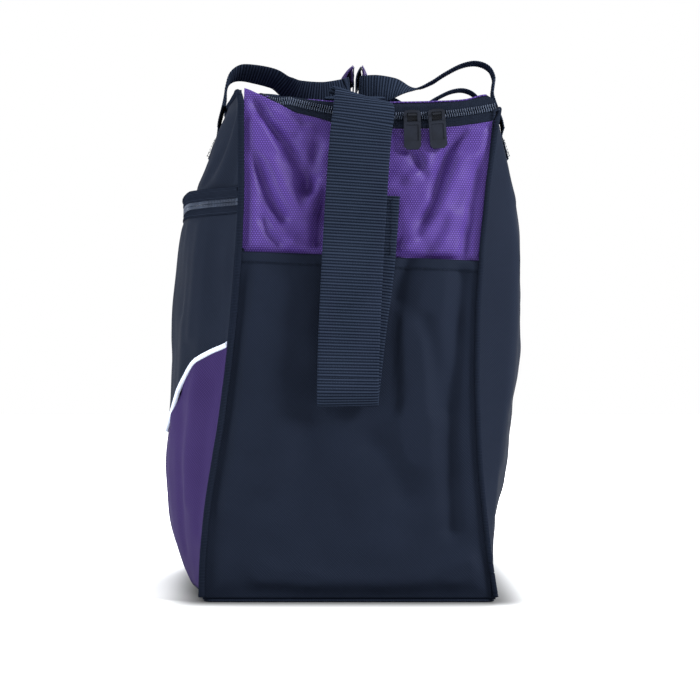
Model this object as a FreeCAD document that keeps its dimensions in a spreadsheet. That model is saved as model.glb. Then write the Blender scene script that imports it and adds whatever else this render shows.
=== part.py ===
"""Bowling ball bag: a tall one-ball tote with a zipped lid and a shoe pocket on its front.

Frame: millimetres, +X along the bag's length, +Y towards its back, +Z up. The origin is the middle of the
base, on the floor. Soft walls are plain shells of the right size and place. The lid, the handles, the
pocket's front, the sliders and the pull tabs are bodies that move.
"""

import FreeCAD, Part
import math
import os

import Sketcher
from FreeCAD import Placement, Rotation, Vector

doc = FreeCAD.newDocument("bowling_ball_bag")
sheet = doc.addObject("Spreadsheet::Sheet", "Dims")

# name: (size in mm, what it is)
SIZES = {
    # the whole bag
    "end_outer": (168.0, "outer face of each end panel, from the middle of the bag"),
    "end_thick": (2.4, "end panel thickness"),
    "base_front": (121.0, "front edge of the base, from the middle"),
    "base_back": (119.0, "back edge of the base, from the middle"),
    "base_thick": (2.0, "base panel thickness"),
    "base_corner": (8.0, "base panel corner radius"),
    "board_margin": (10.0, "gap between the base board and the base panel's edge"),
    "board_thick": (3.0, "base board thickness"),
    "shell_thick": (2.5, "fabric wall thickness with its lining"),
    "hem_front": (288.0, "height of the join of the two end panels at the front"),
    "hem_back": (280.0, "height of the join of the two end panels at the back"),
    # ball cup
    "cup_radius": (98.0, "outer radius of the foam cup"),
    "cup_top": (46.0, "top of the foam cup"),
    "seat_radius": (109.5, "radius of the ball seat"),
    "seat_floor": (12.0, "lowest point of the ball seat"),
    # front and back seams of the end panels
    "seam_low_front": (122.0, "front seam at the base"),
    "seam_mid_front": (111.5, "front seam where its curve turns"),
    "seam_mid_height": (115.0, "height where the front seam's curve turns"),
    "seam_top_front": (89.5, "front seam near the rim"),
    "seam_top_height": (350.0, "height where the front seam becomes upright"),
    "rim_front_height": (417.0, "front top corner"),
    "seam_low_back": (120.0, "back seam at the base"),
    "seam_mid_back": (104.5, "back seam where it pulls in most"),
    "seam_back_height": (195.0, "height where the back seam pulls in most"),
    "seam_top_back": (123.0, "back top corner"),
    "rim_back_height": (404.0, "back top corner height"),
    "piping_radius": (2.7, "radius of the front piping"),
    "back_piping_radius": (2.0, "radius of the back piping"),
    "front_bow": (111.0, "front rim piping at mid-length"),
    "back_bow": (129.0, "back rim piping at mid-length"),
    # saddle-shaped top edge of the end panels and their zipper
    "saddle_y": (45.0, "lowest place of the end panel's top edge"),
    "saddle_low": (389.0, "lowest height of the end panel's top edge"),
    "saddle_radius": (380.0, "radius of the end panel's top edge"),
    "saddle_front": (66.0, "front end of the curved top edge"),
    "saddle_back": (114.0, "back end of the curved top edge"),
    "tape_width": (8.0, "visible width of the body-side zipper tape"),
    "coil_width": (2.4, "width of one coil half"),
    "coil_thick": (3.0, "thickness of the coil"),
    "coil_gap": (0.6, "gap between two coil halves"),
    "tape_thick": (1.2, "zipper tape thickness"),
    "tape_face": (165.4, "outer face of the zipper tape at each end"),
    # lid
    "lid_front": (92.0, "front edge of the lid plate before it is trimmed"),
    "lid_back": (113.0, "back edge of the lid plate"),
    "lid_front_height": (416.6, "underside of the lid at its front edge"),
    "lid_mid_height": (409.6, "underside of the lid in the middle"),
    "lid_back_height": (412.4, "underside of the lid at its back edge"),
    "lid_thick": (2.4, "lid thickness"),
    "lid_half": (160.0, "half length of the lid"),
    "lid_corner": (70.0, "front edge of the trimmed lid at its ends"),
    "lid_bow": (91.0, "front edge of the trimmed lid at mid-length"),
    # webbing
    "strap_width": (50.0, "shoulder strap width"),
    "strap_thick": (2.2, "shoulder strap thickness"),
    "strap_y": (4.0, "middle of the shoulder strap"),
    "anchor_low": (268.0, "lower edge of the strap anchor"),
    "anchor_top": (335.0, "upper edge of the strap anchor"),
    "loop_low": (160.0, "lowest point of the hanging strap loop"),
    "loop_radius": (7.2, "radius of the bottom of the hanging loop"),
    "loop_inner_x": (171.8, "middle of the strap's inner leg"),
    "crossing_height": (413.5, "underside of the strap where it crosses the lid"),
    "crossing_half": (164.4, "half length of the strap's crossing"),
    "handle_width": (25.0, "handle webbing width"),
    "handle_thick": (2.0, "handle webbing thickness"),
    "handle_leg": (86.0, "handle legs, from the middle of the bag"),
    "grip_half": (55.0, "half length of the grip wrap"),
    "front_pivot_y": (119.6, "fold line of the front handle, in front of the middle"),
    "back_pivot_y": (135.6, "fold line of the back handle, behind the middle"),
    "handle_pivot_z": (396.0, "height of both handles' fold lines"),
    # zipper pulls
    "pull_width": (14.0, "pull tab width"),
    "pull_length": (32.0, "pull tab length"),
    "pull_thick": (3.0, "pull tab thickness"),
    "pull_web": (2.0, "thickness of the tab around its window"),
    "slider_width": (9.0, "slider plate width"),
    "slider_thick": (1.8, "slider plate thickness"),
    "slider_left_y": (51.0, "first slider at rest"),
    "slider_right_y": (71.0, "second slider at rest"),
    "pocket_slider_x": (90.0, "pocket slider at rest, towards the far end"),
    "pocket_zip_height": (330.0, "height of the shoe pocket's zipper"),
    "pocket_hinge_height": (7.0, "fold line of the pocket's front, above the floor"),
    "pocket_zip_gap": (6.6, "visible width of the tape below the pocket's zipper"),
    # V-shaped join between the pocket's two fabrics
    "v_side_x": (164.6, "end of the join, along the bag"),
    "v_side_height": (212.0, "height of the join at the pocket's seam"),
    "v_corner_x": (130.0, "where the join starts to curve"),
    "v_corner_height": (194.0, "height of the join where it starts to curve"),
    "v_curve_x": (72.0, "point inside the join's curve"),
    "v_curve_height": (157.5, "height of the join inside its curve"),
    "v_low_height": (134.0, "height of the join at mid-length"),
    "v_half_gap": (1.9, "half width of the piping in the join"),
    # grip wrap
    "grip_height": (442.0, "middle of the wrapped webbing, above the floor"),
    "grip_front_y": (-0.5, "middle of the front handle's webbing in the grip"),
    "grip_back_y": (8.6, "middle of the back handle's webbing in the grip"),
    "wrap_gap": (0.1, "gap between the webbing and its wrap"),
    "wrap_thick": (2.4, "thickness of the wrap"),
    "wrap_rise": (7.0, "height of the wrap's flap above the webbing"),
    "patch_low": (372.0, "lower end of each handle's stitched end"),
    "patch_top": (392.6, "upper end of each handle's stitched end"),
    "patch_front_low": (123.4, "lower end of the front stitched ends, from the middle"),
    "patch_front_top": (118.3, "upper end of the front stitched ends, from the middle"),
    "patch_back_low": (138.6, "lower end of the back stitched ends, from the middle"),
    "patch_back_top": (134.9, "upper end of the back stitched ends, from the middle"),
}

# Each shell is described by rows from the bottom to the top: height, then its distance from the middle of
# the bag (front or back) at the seam, at the side, at the corner and at mid-length.
SHELLS = {
    "front_wall": [(2.6, 117.5, 118.0, 118.5, 119.0), (115, 107.0, 107.5, 108.0, 108.5),
                   (230, 94.0, 96.0, 98.0, 99.0), (408, 85.0, 92.0, 99.0, 103.0)],
    "back_panel": [(2.6, 117.0, 118.0, 119.5, 120.0), (120, 107.0, 126.0, 132.0, 139.0),
                   (235, 104.5, 137.0, 143.0, 151.0), (340, 113.0, 134.0, 138.0, 144.0),
                   (404, 119.5, 121.5, 123.5, 127.0)],
    "upper_panel": [(342, 90.0, 110.0, 131.0, 137.0), (372, 88.5, 104.0, 118.0, 123.5),
                    (410, 90.0, 98.5, 105.0, 110.0)],
    "pocket_front": [(8.6, 122.0, 129.0, 135.0, 145.0), (42, 120.5, 133.5, 144.0, 159.0),
                     (115, 111.8, 133.5, 148.0, 165.5), (220, 98.5, 128.0, 143.5, 160.0),
                     (320, 91.0, 118.5, 137.0, 149.5)],
}
STATIONS = {"front_wall": (164.0, 140.0, 112.0), "back_panel": (164.0, 150.0, 128.0),
            "upper_panel": (164.0, 138.0, 112.0), "pocket_front": (164.0, 138.0, 112.0)}
PLACES = ("seam", "side", "corner", "middle")


def fill_sheet():
    cells = [(name, value, note) for name, (value, note) in SIZES.items()]
    for shell, rows in SHELLS.items():
        for place, value in zip(PLACES, STATIONS[shell]):
            cells.append((f"{shell}_{place}_x", value, f"{place} line of {shell}, along the bag"))
        for row, (height, *depths) in enumerate(rows):
            cells.append((f"{shell}_height_{row}", height, f"height of row {row} of {shell}"))
            for place, value in zip(PLACES, depths):
                cells.append((f"{shell}_{place}_{row}", value, f"{place} of {shell}, row {row}"))
    for index, (alias, value, note) in enumerate(cells, start=1):
        sheet.set(f"A{index}", alias)
        sheet.set(f"B{index}", str(value))
        sheet.set(f"C{index}", note)
        sheet.setAlias(f"B{index}", alias)
    doc.recompute()


def size(alias):
    return float(sheet.get(alias))


def bound(text):
    """An expression on the sheet: every @name in it becomes a cell of the sheet."""
    return text.replace("@", "Dims.")


def number(text):
    """The present value of such an expression."""
    return float(sheet.evalExpression(bound(text)))


NODES = []


def new_body(label):
    body = doc.addObject("PartDesign::Body", label)
    body.Label = label
    NODES.append(body)
    return body


def plane_of(body, role):
    return next(o for o in body.Origin.OriginFeatures if o.Role == role)


def add_profile(body, role, corners, offset=None, name="outline"):
    """Closed sketch through corners (x, y) or (x, y, via_x, via_y), all expressions.

    A corner with a via point starts an arc through that point to the next corner.
    """
    sketch = body.newObject("Sketcher::SketchObject", f"{body.Label}_{name}")
    sketch.AttachmentSupport = [(plane_of(body, role), "")]
    sketch.MapMode = "FlatFace"
    if offset:
        sketch.setExpression(".AttachmentOffset.Base.z", bound(offset))
    points = [Vector(number(c[0]), number(c[1]), 0) for c in corners]
    ends = []
    for i, corner in enumerate(corners):
        start = points[i]
        stop = points[(i + 1) % len(points)]
        if len(corner) == 4:
            via = Vector(number(corner[2]), number(corner[3]), 0)
            index = sketch.addGeometry(Part.Arc(start, via, stop), False)
            forward = sketch.getPoint(index, 1).distanceToPoint(start) < 1e-6
            ends.append((index, 1, 2) if forward else (index, 2, 1))
        else:
            index = sketch.addGeometry(Part.LineSegment(start, stop), False)
            ends.append((index, 1, 2))
    for i, corner in enumerate(corners):
        index, first, _ = ends[i]
        before = ends[i - 1]
        sketch.addConstraint(Sketcher.Constraint("Coincident", before[0], before[2], index, first))
        bind(sketch, "DistanceX", index, first, corner[0])
        bind(sketch, "DistanceY", index, first, corner[1])
        if len(corner) == 4:
            via = Part.Point(Vector(number(corner[2]), number(corner[3]), 0))
            mark = sketch.addGeometry(via, True)
            sketch.addConstraint(Sketcher.Constraint("PointOnObject", mark, 1, index))
            bind(sketch, "DistanceX", mark, 1, corner[2])
            bind(sketch, "DistanceY", mark, 1, corner[3])
    return sketch


def bind(sketch, kind, index, point, text):
    row = sketch.addConstraint(Sketcher.Constraint(kind, index, point, number(text)))
    sketch.setExpression(f"Constraints[{row}]", bound(text))


def pad(body, sketch, length, name="pad", reverse=False, midplane=False):
    feature = body.newObject("PartDesign::Pad", f"{body.Label}_{name}")
    feature.Profile = sketch
    feature.setExpression("Length", bound(length))
    feature.Reversed = reverse
    if midplane:
        feature.SideType = "Symmetric"
    sketch.Visibility = False
    doc.recompute()
    return feature


def cut(body, sketch, length, name="cut", reverse=False, midplane=False):
    """Pocket that must remove material."""
    before = body.Shape.Volume
    feature = body.newObject("PartDesign::Pocket", f"{body.Label}_{name}")
    feature.Profile = sketch
    feature.setExpression("Length", bound(length))
    feature.Reversed = reverse
    if midplane:
        feature.SideType = "Symmetric"
    doc.recompute()
    if body.Shape.Volume > before - 0.5:
        raise RuntimeError(f"{feature.Name} cuts nothing")
    return feature


# ---------------------------------------------------------------- walls

def strip_corners(shell, row, sign, outset="0", thick="@shell_thick"):
    """Plan outline of a shell's wall at one of its rows: out along its face and back along its lining."""
    s = "-" if sign < 0 else ""
    inward = "+" if sign < 0 else "-"

    def at(place, x_sign, depth=""):
        x = f"{x_sign}@{shell}_{place}_x"
        y = f"{s}(@{shell}_{place}_{row} + {outset})"
        return x, f"{y} {inward} {depth}" if depth else y

    middle = f"{s}(@{shell}_middle_{row} + {outset})"
    outer = [at("seam", ""), at("side", ""), (*at("corner", ""), "0", middle),
             at("corner", "-"), at("side", "-"), at("seam", "-")]
    inner = [at("seam", "-", thick), at("side", "-", thick),
             (*at("corner", "-", thick), "0", f"{middle} {inward} {thick}"),
             at("corner", "", thick), at("side", "", thick), at("seam", "", thick)]
    return outer + inner


def loft_shell(body, shell, sign, outset="0", thick="@shell_thick"):
    sketches = []
    for row in range(len(SHELLS[shell])):
        corners = strip_corners(shell, row, sign, outset, thick)
        sketches.append(add_profile(body, "XY_Plane", corners, f"@{shell}_height_{row}", f"row_{row}"))
    loft = body.newObject("PartDesign::AdditiveLoft", f"{body.Label}_loft")
    loft.Profile = sketches[0]
    loft.Sections = sketches[1:]
    loft.Ruled = False
    doc.recompute()
    return loft


def pad_strip(body, shell, row, sign, low, height, outset="0", thick="@shell_thick"):
    """Upright band that follows a shell's outline at one of its rows."""
    corners = strip_corners(shell, row, sign, outset, thick)
    sketch = add_profile(body, "XY_Plane", corners, low)
    return pad(body, sketch, height)


def make_walls():
    base = new_body("base_panel")
    rim = [("@end_outer", "-@base_front"), ("@end_outer", "@base_back"),
           ("-@end_outer", "@base_back"), ("-@end_outer", "-@base_front")]
    plate = pad(base, add_profile(base, "XY_Plane", rim), "@base_thick")
    fillet = base.newObject("PartDesign::Fillet", "base_panel_corners")
    upright = [f"Edge{i}" for i, e in enumerate(plate.Shape.Edges, 1) if e.BoundBox.ZLength > 1.0]
    fillet.Base = (plate, upright)
    fillet.setExpression("Radius", bound("@base_corner"))
    doc.recompute()

    board = new_body("base_board")
    edge = [("@end_outer - @board_margin", "-@base_front + @board_margin"),
            ("@end_outer - @board_margin", "@base_back - @board_margin"),
            ("-@end_outer + @board_margin", "@base_back - @board_margin"),
            ("-@end_outer + @board_margin", "-@base_front + @board_margin")]
    pad(board, add_profile(board, "XY_Plane", edge, "@base_thick"), "@board_thick")

    cup = new_body("ball_cup")
    low = "@base_thick + @board_thick"
    middle = "@seat_floor + @seat_radius"
    lip = f"sqrt(@seat_radius^2 - ({middle} - @cup_top)^2)"
    via_z = f"{middle} - @seat_radius * 0.94"
    via_x = "@seat_radius * sqrt(1 - 0.94^2)"
    ring = [("0", low), ("@cup_radius", low), ("@cup_radius", "@cup_top"),
            (lip, "@cup_top", via_x, via_z), ("0", "@seat_floor")]
    sketch = add_profile(cup, "XZ_Plane", ring)
    turn = cup.newObject("PartDesign::Revolution", "ball_cup_turn")
    turn.Profile = sketch
    turn.ReferenceAxis = (sketch, ["V_Axis"])
    turn.Angle = 360
    doc.recompute()

    loft_shell(new_body("front_wall"), "front_wall", -1)
    loft_shell(new_body("back_panel"), "back_panel", 1)
    loft_shell(new_body("pocket_upper_panel"), "upper_panel", -1)


def saddle(y, rise="0"):
    """Height of the end panel's top edge, raised by a distance along its radius."""
    return f"@saddle_low + @saddle_radius - sqrt((@saddle_radius - {rise})^2 - ({y} - @saddle_y)^2)"


FRONT_IN = "(@piping_radius + 0.5)"
BACK_IN = "(@back_piping_radius + 0.5)"


def make_end_panels():
    for side, offset, reverse in (("right", "@end_outer", True), ("left", "-@end_outer", False)):
        lower = new_body(f"{side}_end_lower_panel")
        hem_front_y = f"-@seam_top_front - 1.6 + {FRONT_IN}"
        hem_back_y = f"@seam_mid_back + 3.0 - {BACK_IN}"
        outline = [
            (f"-@seam_low_front + {FRONT_IN}", "@base_thick",
             f"-@seam_mid_front - 7.8 + {FRONT_IN}", "@seam_mid_height / 2"),
            (f"-@seam_mid_front + {FRONT_IN}", "@seam_mid_height",
             f"-@seam_top_front - 8.9 + {FRONT_IN}", "@seam_mid_height + 88"),
            (hem_front_y, "@hem_front"),
            (hem_back_y, "@hem_back",
             f"@seam_mid_back - {BACK_IN}", "@seam_back_height"),
            (f"@seam_low_back - {BACK_IN}", "@base_thick"),
        ]
        pad(lower, add_profile(lower, "YZ_Plane", outline, offset), "@end_thick", reverse=reverse)

        mesh = new_body(f"{side}_end_mesh_panel")
        outline = [
            (hem_front_y, "@hem_front", f"-@seam_top_front - 0.4 + {FRONT_IN}", "@hem_front + 35"),
            (f"-@seam_top_front + {FRONT_IN}", "@seam_top_height"),
            (f"-@seam_top_front + {FRONT_IN}", "@rim_front_height"),
            ("-@saddle_front", saddle("-@saddle_front"), "@saddle_y", "@saddle_low"),
            ("@saddle_back", saddle("@saddle_back")),
            (f"@seam_top_back - {BACK_IN} - 1.6", saddle("@saddle_back") + " + 2.5",
             f"@seam_mid_back + 7.7 - {BACK_IN}", "@hem_back + 55"),
            (hem_back_y, "@hem_back"),
        ]
        pad(mesh, add_profile(mesh, "YZ_Plane", outline, offset), "@end_thick", reverse=reverse)


def add_open_path(body, role, corners, offset, name):
    """Open sketch of lines and arcs: the spine of a piping."""
    sketch = body.newObject("Sketcher::SketchObject", f"{body.Label}_{name}")
    sketch.AttachmentSupport = [(plane_of(body, role), "")]
    sketch.MapMode = "FlatFace"
    sketch.setExpression(".AttachmentOffset.Base.z", bound(offset))
    ends = []
    for corner, after in zip(corners, corners[1:]):
        start = Vector(number(corner[0]), number(corner[1]), 0)
        stop = Vector(number(after[0]), number(after[1]), 0)
        if len(corner) == 4:
            via = Vector(number(corner[2]), number(corner[3]), 0)
            index = sketch.addGeometry(Part.Arc(start, via, stop), False)
            forward = sketch.getPoint(index, 1).distanceToPoint(start) < 1e-6
        else:
            index = sketch.addGeometry(Part.LineSegment(start, stop), False)
            forward = True
        ends.append((index, 1, 2) if forward else (index, 2, 1))
    for row, (index, first, last) in enumerate(ends):
        bind(sketch, "DistanceX", index, first, corners[row][0])
        bind(sketch, "DistanceY", index, first, corners[row][1])
        if row:
            before = ends[row - 1]
            sketch.addConstraint(Sketcher.Constraint("Coincident", before[0], before[2], index, first))
    index, first, last = ends[-1]
    bind(sketch, "DistanceX", index, last, corners[-1][0])
    bind(sketch, "DistanceY", index, last, corners[-1][1])
    return sketch


def add_pipe(body, role, corners, offset, radius, name):
    """Round piping along a flat path that starts straight up or straight along the bag."""
    spine = add_open_path(body, role, corners, offset, f"{name}_spine")
    ring = body.newObject("Sketcher::SketchObject", f"{body.Label}_{name}_ring")
    if role == "YZ_Plane":
        ring.AttachmentSupport = [(plane_of(body, "XY_Plane"), "")]
        centre = (offset, corners[0][0])
        ring_offset = corners[0][1]
    else:
        ring.AttachmentSupport = [(plane_of(body, "YZ_Plane"), "")]
        centre = (corners[0][1], offset)
        ring_offset = corners[0][0]
    ring.MapMode = "FlatFace"
    ring.setExpression(".AttachmentOffset.Base.z", bound(ring_offset))
    at = Vector(number(centre[0]), number(centre[1]), 0)
    circle = ring.addGeometry(Part.Circle(at, Vector(0, 0, 1), number(radius)), False)
    bind(ring, "DistanceX", circle, 3, centre[0])
    bind(ring, "DistanceY", circle, 3, centre[1])
    row = ring.addConstraint(Sketcher.Constraint("Radius", circle, number(radius)))
    ring.setExpression(f"Constraints[{row}]", bound(radius))
    doc.recompute()
    pipe = body.newObject("PartDesign::AdditivePipe", f"{body.Label}_{name}")
    pipe.Profile = ring
    pipe.Spine = spine
    pipe.Transition = "Round corner"
    doc.recompute()
    return pipe


def make_piping():
    front = new_body("front_piping")
    radius = "@piping_radius"
    low = "@base_thick + 1"
    for side, x in (("right", "@end_outer"), ("left", "-@end_outer")):
        path = [("-@seam_low_front", low, "-@seam_mid_front - 7.8", "@seam_mid_height / 2"),
                ("-@seam_mid_front", "@seam_mid_height",
                 "-@seam_top_front - 6.2", "(@seam_mid_height + @seam_top_height) / 2"),
                ("-@seam_top_front", "@seam_top_height"),
                ("-@seam_top_front", "@rim_front_height")]
        add_pipe(front, "YZ_Plane", path, x, radius, side)
    path = [("-@end_outer", "-@seam_top_front", "0", "-@front_bow"), ("@end_outer", "-@seam_top_front")]
    add_pipe(front, "XY_Plane", path, "@rim_front_height", radius, "rim")

    radius = "@back_piping_radius"
    for side, x in (("right", "@end_outer"), ("left", "-@end_outer")):
        back = new_body(f"{side}_back_piping")
        path = [("@seam_low_back", low, "@seam_mid_back", "@seam_back_height"),
                ("@seam_top_back", "@rim_back_height + 2.4")]
        add_pipe(back, "YZ_Plane", path, x, radius, side)
    rim = new_body("back_rim_piping")
    inner = "(@end_outer - @back_piping_radius)"
    path = [(f"-{inner}", "@seam_top_back", "0", "@back_bow"), (inner, "@seam_top_back")]
    add_pipe(rim, "XY_Plane", path, "@rim_back_height + 2.4", radius, "rim")


# ---------------------------------------------------------------- shoe pocket

POCKET = "pocket_front"


def add_v_cut(body, above, shift, name):
    """Cuts the shell away above or below the V-shaped join, moved up by a distance."""
    far = "400" if above else "-20"
    out = "@v_side_x + 8"
    low, curve = f"@v_low_height + {shift}", f"@v_curve_height + {shift}"
    corner, end = f"@v_corner_height + {shift}", f"@v_side_height + 4 + {shift}"
    corners = [(out, end), ("@v_corner_x", corner, "@v_curve_x", curve),
               ("0", low, "-@v_curve_x", curve), ("-@v_corner_x", corner),
               (f"-({out})", end), (f"-({out})", far), (out, far)]
    sketch = add_profile(body, "XZ_Plane", corners, "0", name)
    return cut(body, sketch, "400", f"{name}_cut", midplane=True)


def make_pocket():
    centre = new_body("pocket_centre_panel")
    loft_shell(centre, POCKET, -1)
    add_v_cut(centre, False, "0", "below")

    accent = new_body("pocket_accent_panel")
    loft_shell(accent, POCKET, -1)
    add_v_cut(accent, True, "0", "above")

    trim = new_body("pocket_accent_piping")
    loft_shell(trim, POCKET, -1, outset="1.7", thick="1.6")
    add_v_cut(trim, True, "@v_half_gap", "above")
    add_v_cut(trim, False, "(-@v_half_gap)", "below")

    floor = new_body("pocket_floor_panel")
    row = 0
    wall = "-@base_front - 1.4"
    corners = [("@pocket_front_seam_x", wall),
               ("@pocket_front_seam_x", f"-@{POCKET}_seam_{row} - 0.6"),
               ("@pocket_front_side_x", f"-@{POCKET}_side_{row}"),
               ("@pocket_front_corner_x", f"-@{POCKET}_corner_{row}", "0", f"-@{POCKET}_middle_{row}"),
               ("-@pocket_front_corner_x", f"-@{POCKET}_corner_{row}"),
               ("-@pocket_front_side_x", f"-@{POCKET}_side_{row}"),
               ("-@pocket_front_seam_x", f"-@{POCKET}_seam_{row} - 0.6"),
               ("-@pocket_front_seam_x", wall)]
    pad(floor, add_profile(floor, "XY_Plane", corners, "@pocket_hinge_height - 0.8"), "2.4")

    top = len(SHELLS[POCKET]) - 1
    start = f"@{POCKET}_height_{top}"
    lower_coil = f"{start} + @pocket_zip_gap"
    upper_coil = f"{lower_coil} + @coil_width + @coil_gap"
    upper_tape = f"{upper_coil} + @coil_width"
    strips = (("lower_tape", start, "@pocket_zip_gap", "0.6", "@tape_thick"),
              ("lower_coil", lower_coil, "@coil_width", "1.4", "@coil_thick"),
              ("upper_coil", upper_coil, "@coil_width", "1.4", "@coil_thick"),
              ("upper_tape", upper_tape, f"@upper_panel_height_0 - ({upper_tape})", "0.6", "@tape_thick"))
    for label, low, height, outset, thick in strips:
        body = new_body(f"pocket_zip_{label}")
        pad_strip(body, POCKET, top, -1, low, height, outset=outset, thick=thick)


# ---------------------------------------------------------------- main zipper and lid

def band(body, low, high, face, depth, name, reverse):
    """Flat band between two curves parallel to the end panel's top edge."""
    front, back = "-@saddle_front", "@saddle_back"
    corners = [(front, saddle(front, low), "@saddle_y", f"@saddle_low + {low}"),
               (back, saddle(back, low)),
               (back, saddle(back, high), "@saddle_y", f"@saddle_low + {high}"),
               (front, saddle(front, high))]
    pad(body, add_profile(body, "YZ_Plane", corners, face, name), depth, f"{name}_pad", reverse=reverse)


def front_band(body, near, far, low, thick, name):
    """Flat band along the front of the opening, between two arcs set back from the rim piping."""
    half = "(@tape_face - 9)"
    corners = [(half, f"-@seam_top_front + {near}", "0", f"-@front_bow + {near} + 2"),
               (f"-{half}", f"-@seam_top_front + {near}"),
               (f"-{half}", f"-@seam_top_front + {far}", "0", f"-@front_bow + {far} + 2"),
               (half, f"-@seam_top_front + {far}")]
    pad(body, add_profile(body, "XY_Plane", corners, low, name), thick, f"{name}_pad")


ENDS = (("right", "", True), ("left", "-", False))
COIL_LOW = "@tape_width"
COIL_HIGH = "(@tape_width + @coil_width)"
LID_COIL_LOW = "(@tape_width + @coil_width + @coil_gap)"
LID_COIL_HIGH = "(@tape_width + 2 * @coil_width + @coil_gap)"
RIM_TOP = "@rim_front_height - 1"


def make_main_zipper():
    for side, sign, reverse in ENDS:
        tape = new_body(f"{side}_rim_zip_tape")
        band(tape, "-3", COIL_LOW, f"{sign}@tape_face", "@tape_thick", "end", reverse)
        coil = new_body(f"{side}_rim_zip_coil")
        band(coil, COIL_LOW, COIL_HIGH, f"{sign}(@tape_face + 0.8)", "@coil_thick", "end", reverse)
    tape = new_body("front_rim_zip_tape")
    front_band(tape, "4", "9.5", RIM_TOP, "@tape_thick", "front")
    coil = new_body("front_rim_zip_coil")
    front_band(coil, "9.5", "11.9", f"{RIM_TOP} - 1", "@coil_thick", "front")


def make_lid():
    panel = new_body("lid_panel")
    ends = ("-@lid_front", "@lid_front_height"), ("@lid_back", "@lid_back_height")
    middle = ("20", "@lid_mid_height")
    corners = [(*ends[0], *middle), ends[1],
               (ends[1][0], f"{ends[1][1]} + @lid_thick", middle[0], f"{middle[1]} + @lid_thick"),
               (ends[0][0], f"{ends[0][1]} + @lid_thick")]
    sketch = add_profile(panel, "YZ_Plane", corners, "0")
    pad(panel, sketch, "2 * @lid_half", midplane=True)
    outside = [("@lid_half + 5", "-@lid_corner", "0", "-@lid_bow"), ("-@lid_half - 5", "-@lid_corner"),
               ("-@lid_half - 5", "-@lid_front - 30"), ("@lid_half + 5", "-@lid_front - 30")]
    cut(panel, add_profile(panel, "XY_Plane", outside, "300", "trim"), "300", reverse=True)

    for side, sign, reverse in ENDS:
        coil = new_body(f"{side}_lid_zip_coil")
        band(coil, LID_COIL_LOW, LID_COIL_HIGH, f"{sign}(@tape_face + 0.8)", "@coil_thick", "end", reverse)
        tape = new_body(f"{side}_lid_zip_tape")
        front, back = "(-@saddle_front + 42)", "(@saddle_back - 4)"
        corners = [(front, saddle(front, LID_COIL_HIGH), "@saddle_y", f"@saddle_low + {LID_COIL_HIGH}"),
                   (back, saddle(back, LID_COIL_HIGH)),
                   (back, "@lid_back_height - 0.5", "30", "@lid_mid_height - 0.4"),
                   (front, "@lid_mid_height + 0.9")]
        pad(tape, add_profile(tape, "YZ_Plane", corners, f"{sign}@tape_face"), "5.6", reverse=reverse)


# ---------------------------------------------------------------- shoulder strap and handles

def make_strap():
    for side, sign in (("right", 1), ("left", -1)):
        s = "" if sign > 0 else "-"
        anchor = new_body(f"{side}_strap_anchor")
        half = "@strap_width / 2"
        near, far = f"@strap_y + 12 - {half}", f"@strap_y + 12 + {half}"
        low = "@anchor_low + 0.1"
        corners = [(near, low), (far, low), (far, "@anchor_top"), (near, "@anchor_top")]
        offset = f"{s}(@end_outer + @strap_thick)" if sign > 0 else "-@end_outer"
        pad(anchor, add_profile(anchor, "YZ_Plane", corners, offset), "@strap_thick", reverse=True)

        drop = new_body(f"{side}_strap_drop")
        t = "@strap_thick / 2"
        inner_x, outer_x = "@loop_inner_x", "@loop_inner_x + 2 * @loop_radius"
        turn_z = "@loop_low + @loop_radius + @strap_thick / 2"
        middle_x = "@loop_inner_x + @loop_radius"
        drop_end = "@tape_face + 1.5"

        def at(x, z, *via):
            if via:
                return f"{s}({x})", z, f"{s}({via[0]})", via[1]
            return f"{s}({x})", z

        corners = [
            at(f"{inner_x} - {t}", "@anchor_low"),
            at(f"{inner_x} - {t}", turn_z, middle_x, "@loop_low"),
            at(f"{outer_x} + {t}", turn_z),
            at(f"{outer_x} + {t}", "395", "184.6", "412"),
            at("177", "421", "172", "421.2"),
            at(drop_end, "417.5"),
            at(f"{drop_end} + 0.8", "415.3", "172.5", "418.8"),
            at("176", "418.8", "182.6", "410.5"),
            at(f"{outer_x} - {t}", "394.6"),
            at(f"{outer_x} - {t}", turn_z, middle_x, "@loop_low + @strap_thick"),
            at(f"{inner_x} + {t}", turn_z),
            at(f"{inner_x} + {t}", "@anchor_low"),
        ]
        sketch = add_profile(drop, "XZ_Plane", corners, "-@strap_y")
        pad(drop, sketch, "@strap_width", midplane=True)

    crossing = new_body("strap_crossing")
    corners = [("-@crossing_half", "@crossing_height"), ("@crossing_half", "@crossing_height"),
               ("@crossing_half", "@crossing_height + @strap_thick"),
               ("-@crossing_half", "@crossing_height + @strap_thick")]
    pad(crossing, add_profile(crossing, "XZ_Plane", corners, "-@strap_y"), "@strap_width", midplane=True)


def ribbon(label, stations, width, thick):
    """Flat webbing that bends and twists in space, which no sketch can hold: lofted between its sections.

    stations: (x, y, z, direction of the webbing's width). Width and thickness come from the sheet.
    """
    places = [Vector(*s[:3]) for s in stations]
    wires = []
    for i, station in enumerate(stations):
        before = places[max(i - 1, 0)]
        after = places[min(i + 1, len(places) - 1)]
        along = (after - before).normalize()
        across = Vector(*station[3])
        across = (across - along * across.dot(along)).normalize()
        normal = along.cross(across)
        a, b = across * (width / 2), normal * (thick / 2)
        ring = [places[i] - a - b, places[i] + a - b, places[i] + a + b, places[i] - a + b]
        wires.append(Part.makePolygon(ring + ring[:1]))
    feature = doc.addObject("Part::Feature", label)
    feature.Label = label
    feature.Shape = Part.makeLoft(wires, True, True)
    NODES.append(feature)
    return feature


def mirrored(stations):
    """Both halves of a webbing that is the same towards each end of the bag."""
    half = [(-x, y, z, (-w[0], w[1], w[2])) for x, y, z, w in reversed(stations[:-1])]
    return stations + half


ACROSS = (1, 0, 0)
UPRIGHT = (0, 0, 1)


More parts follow.
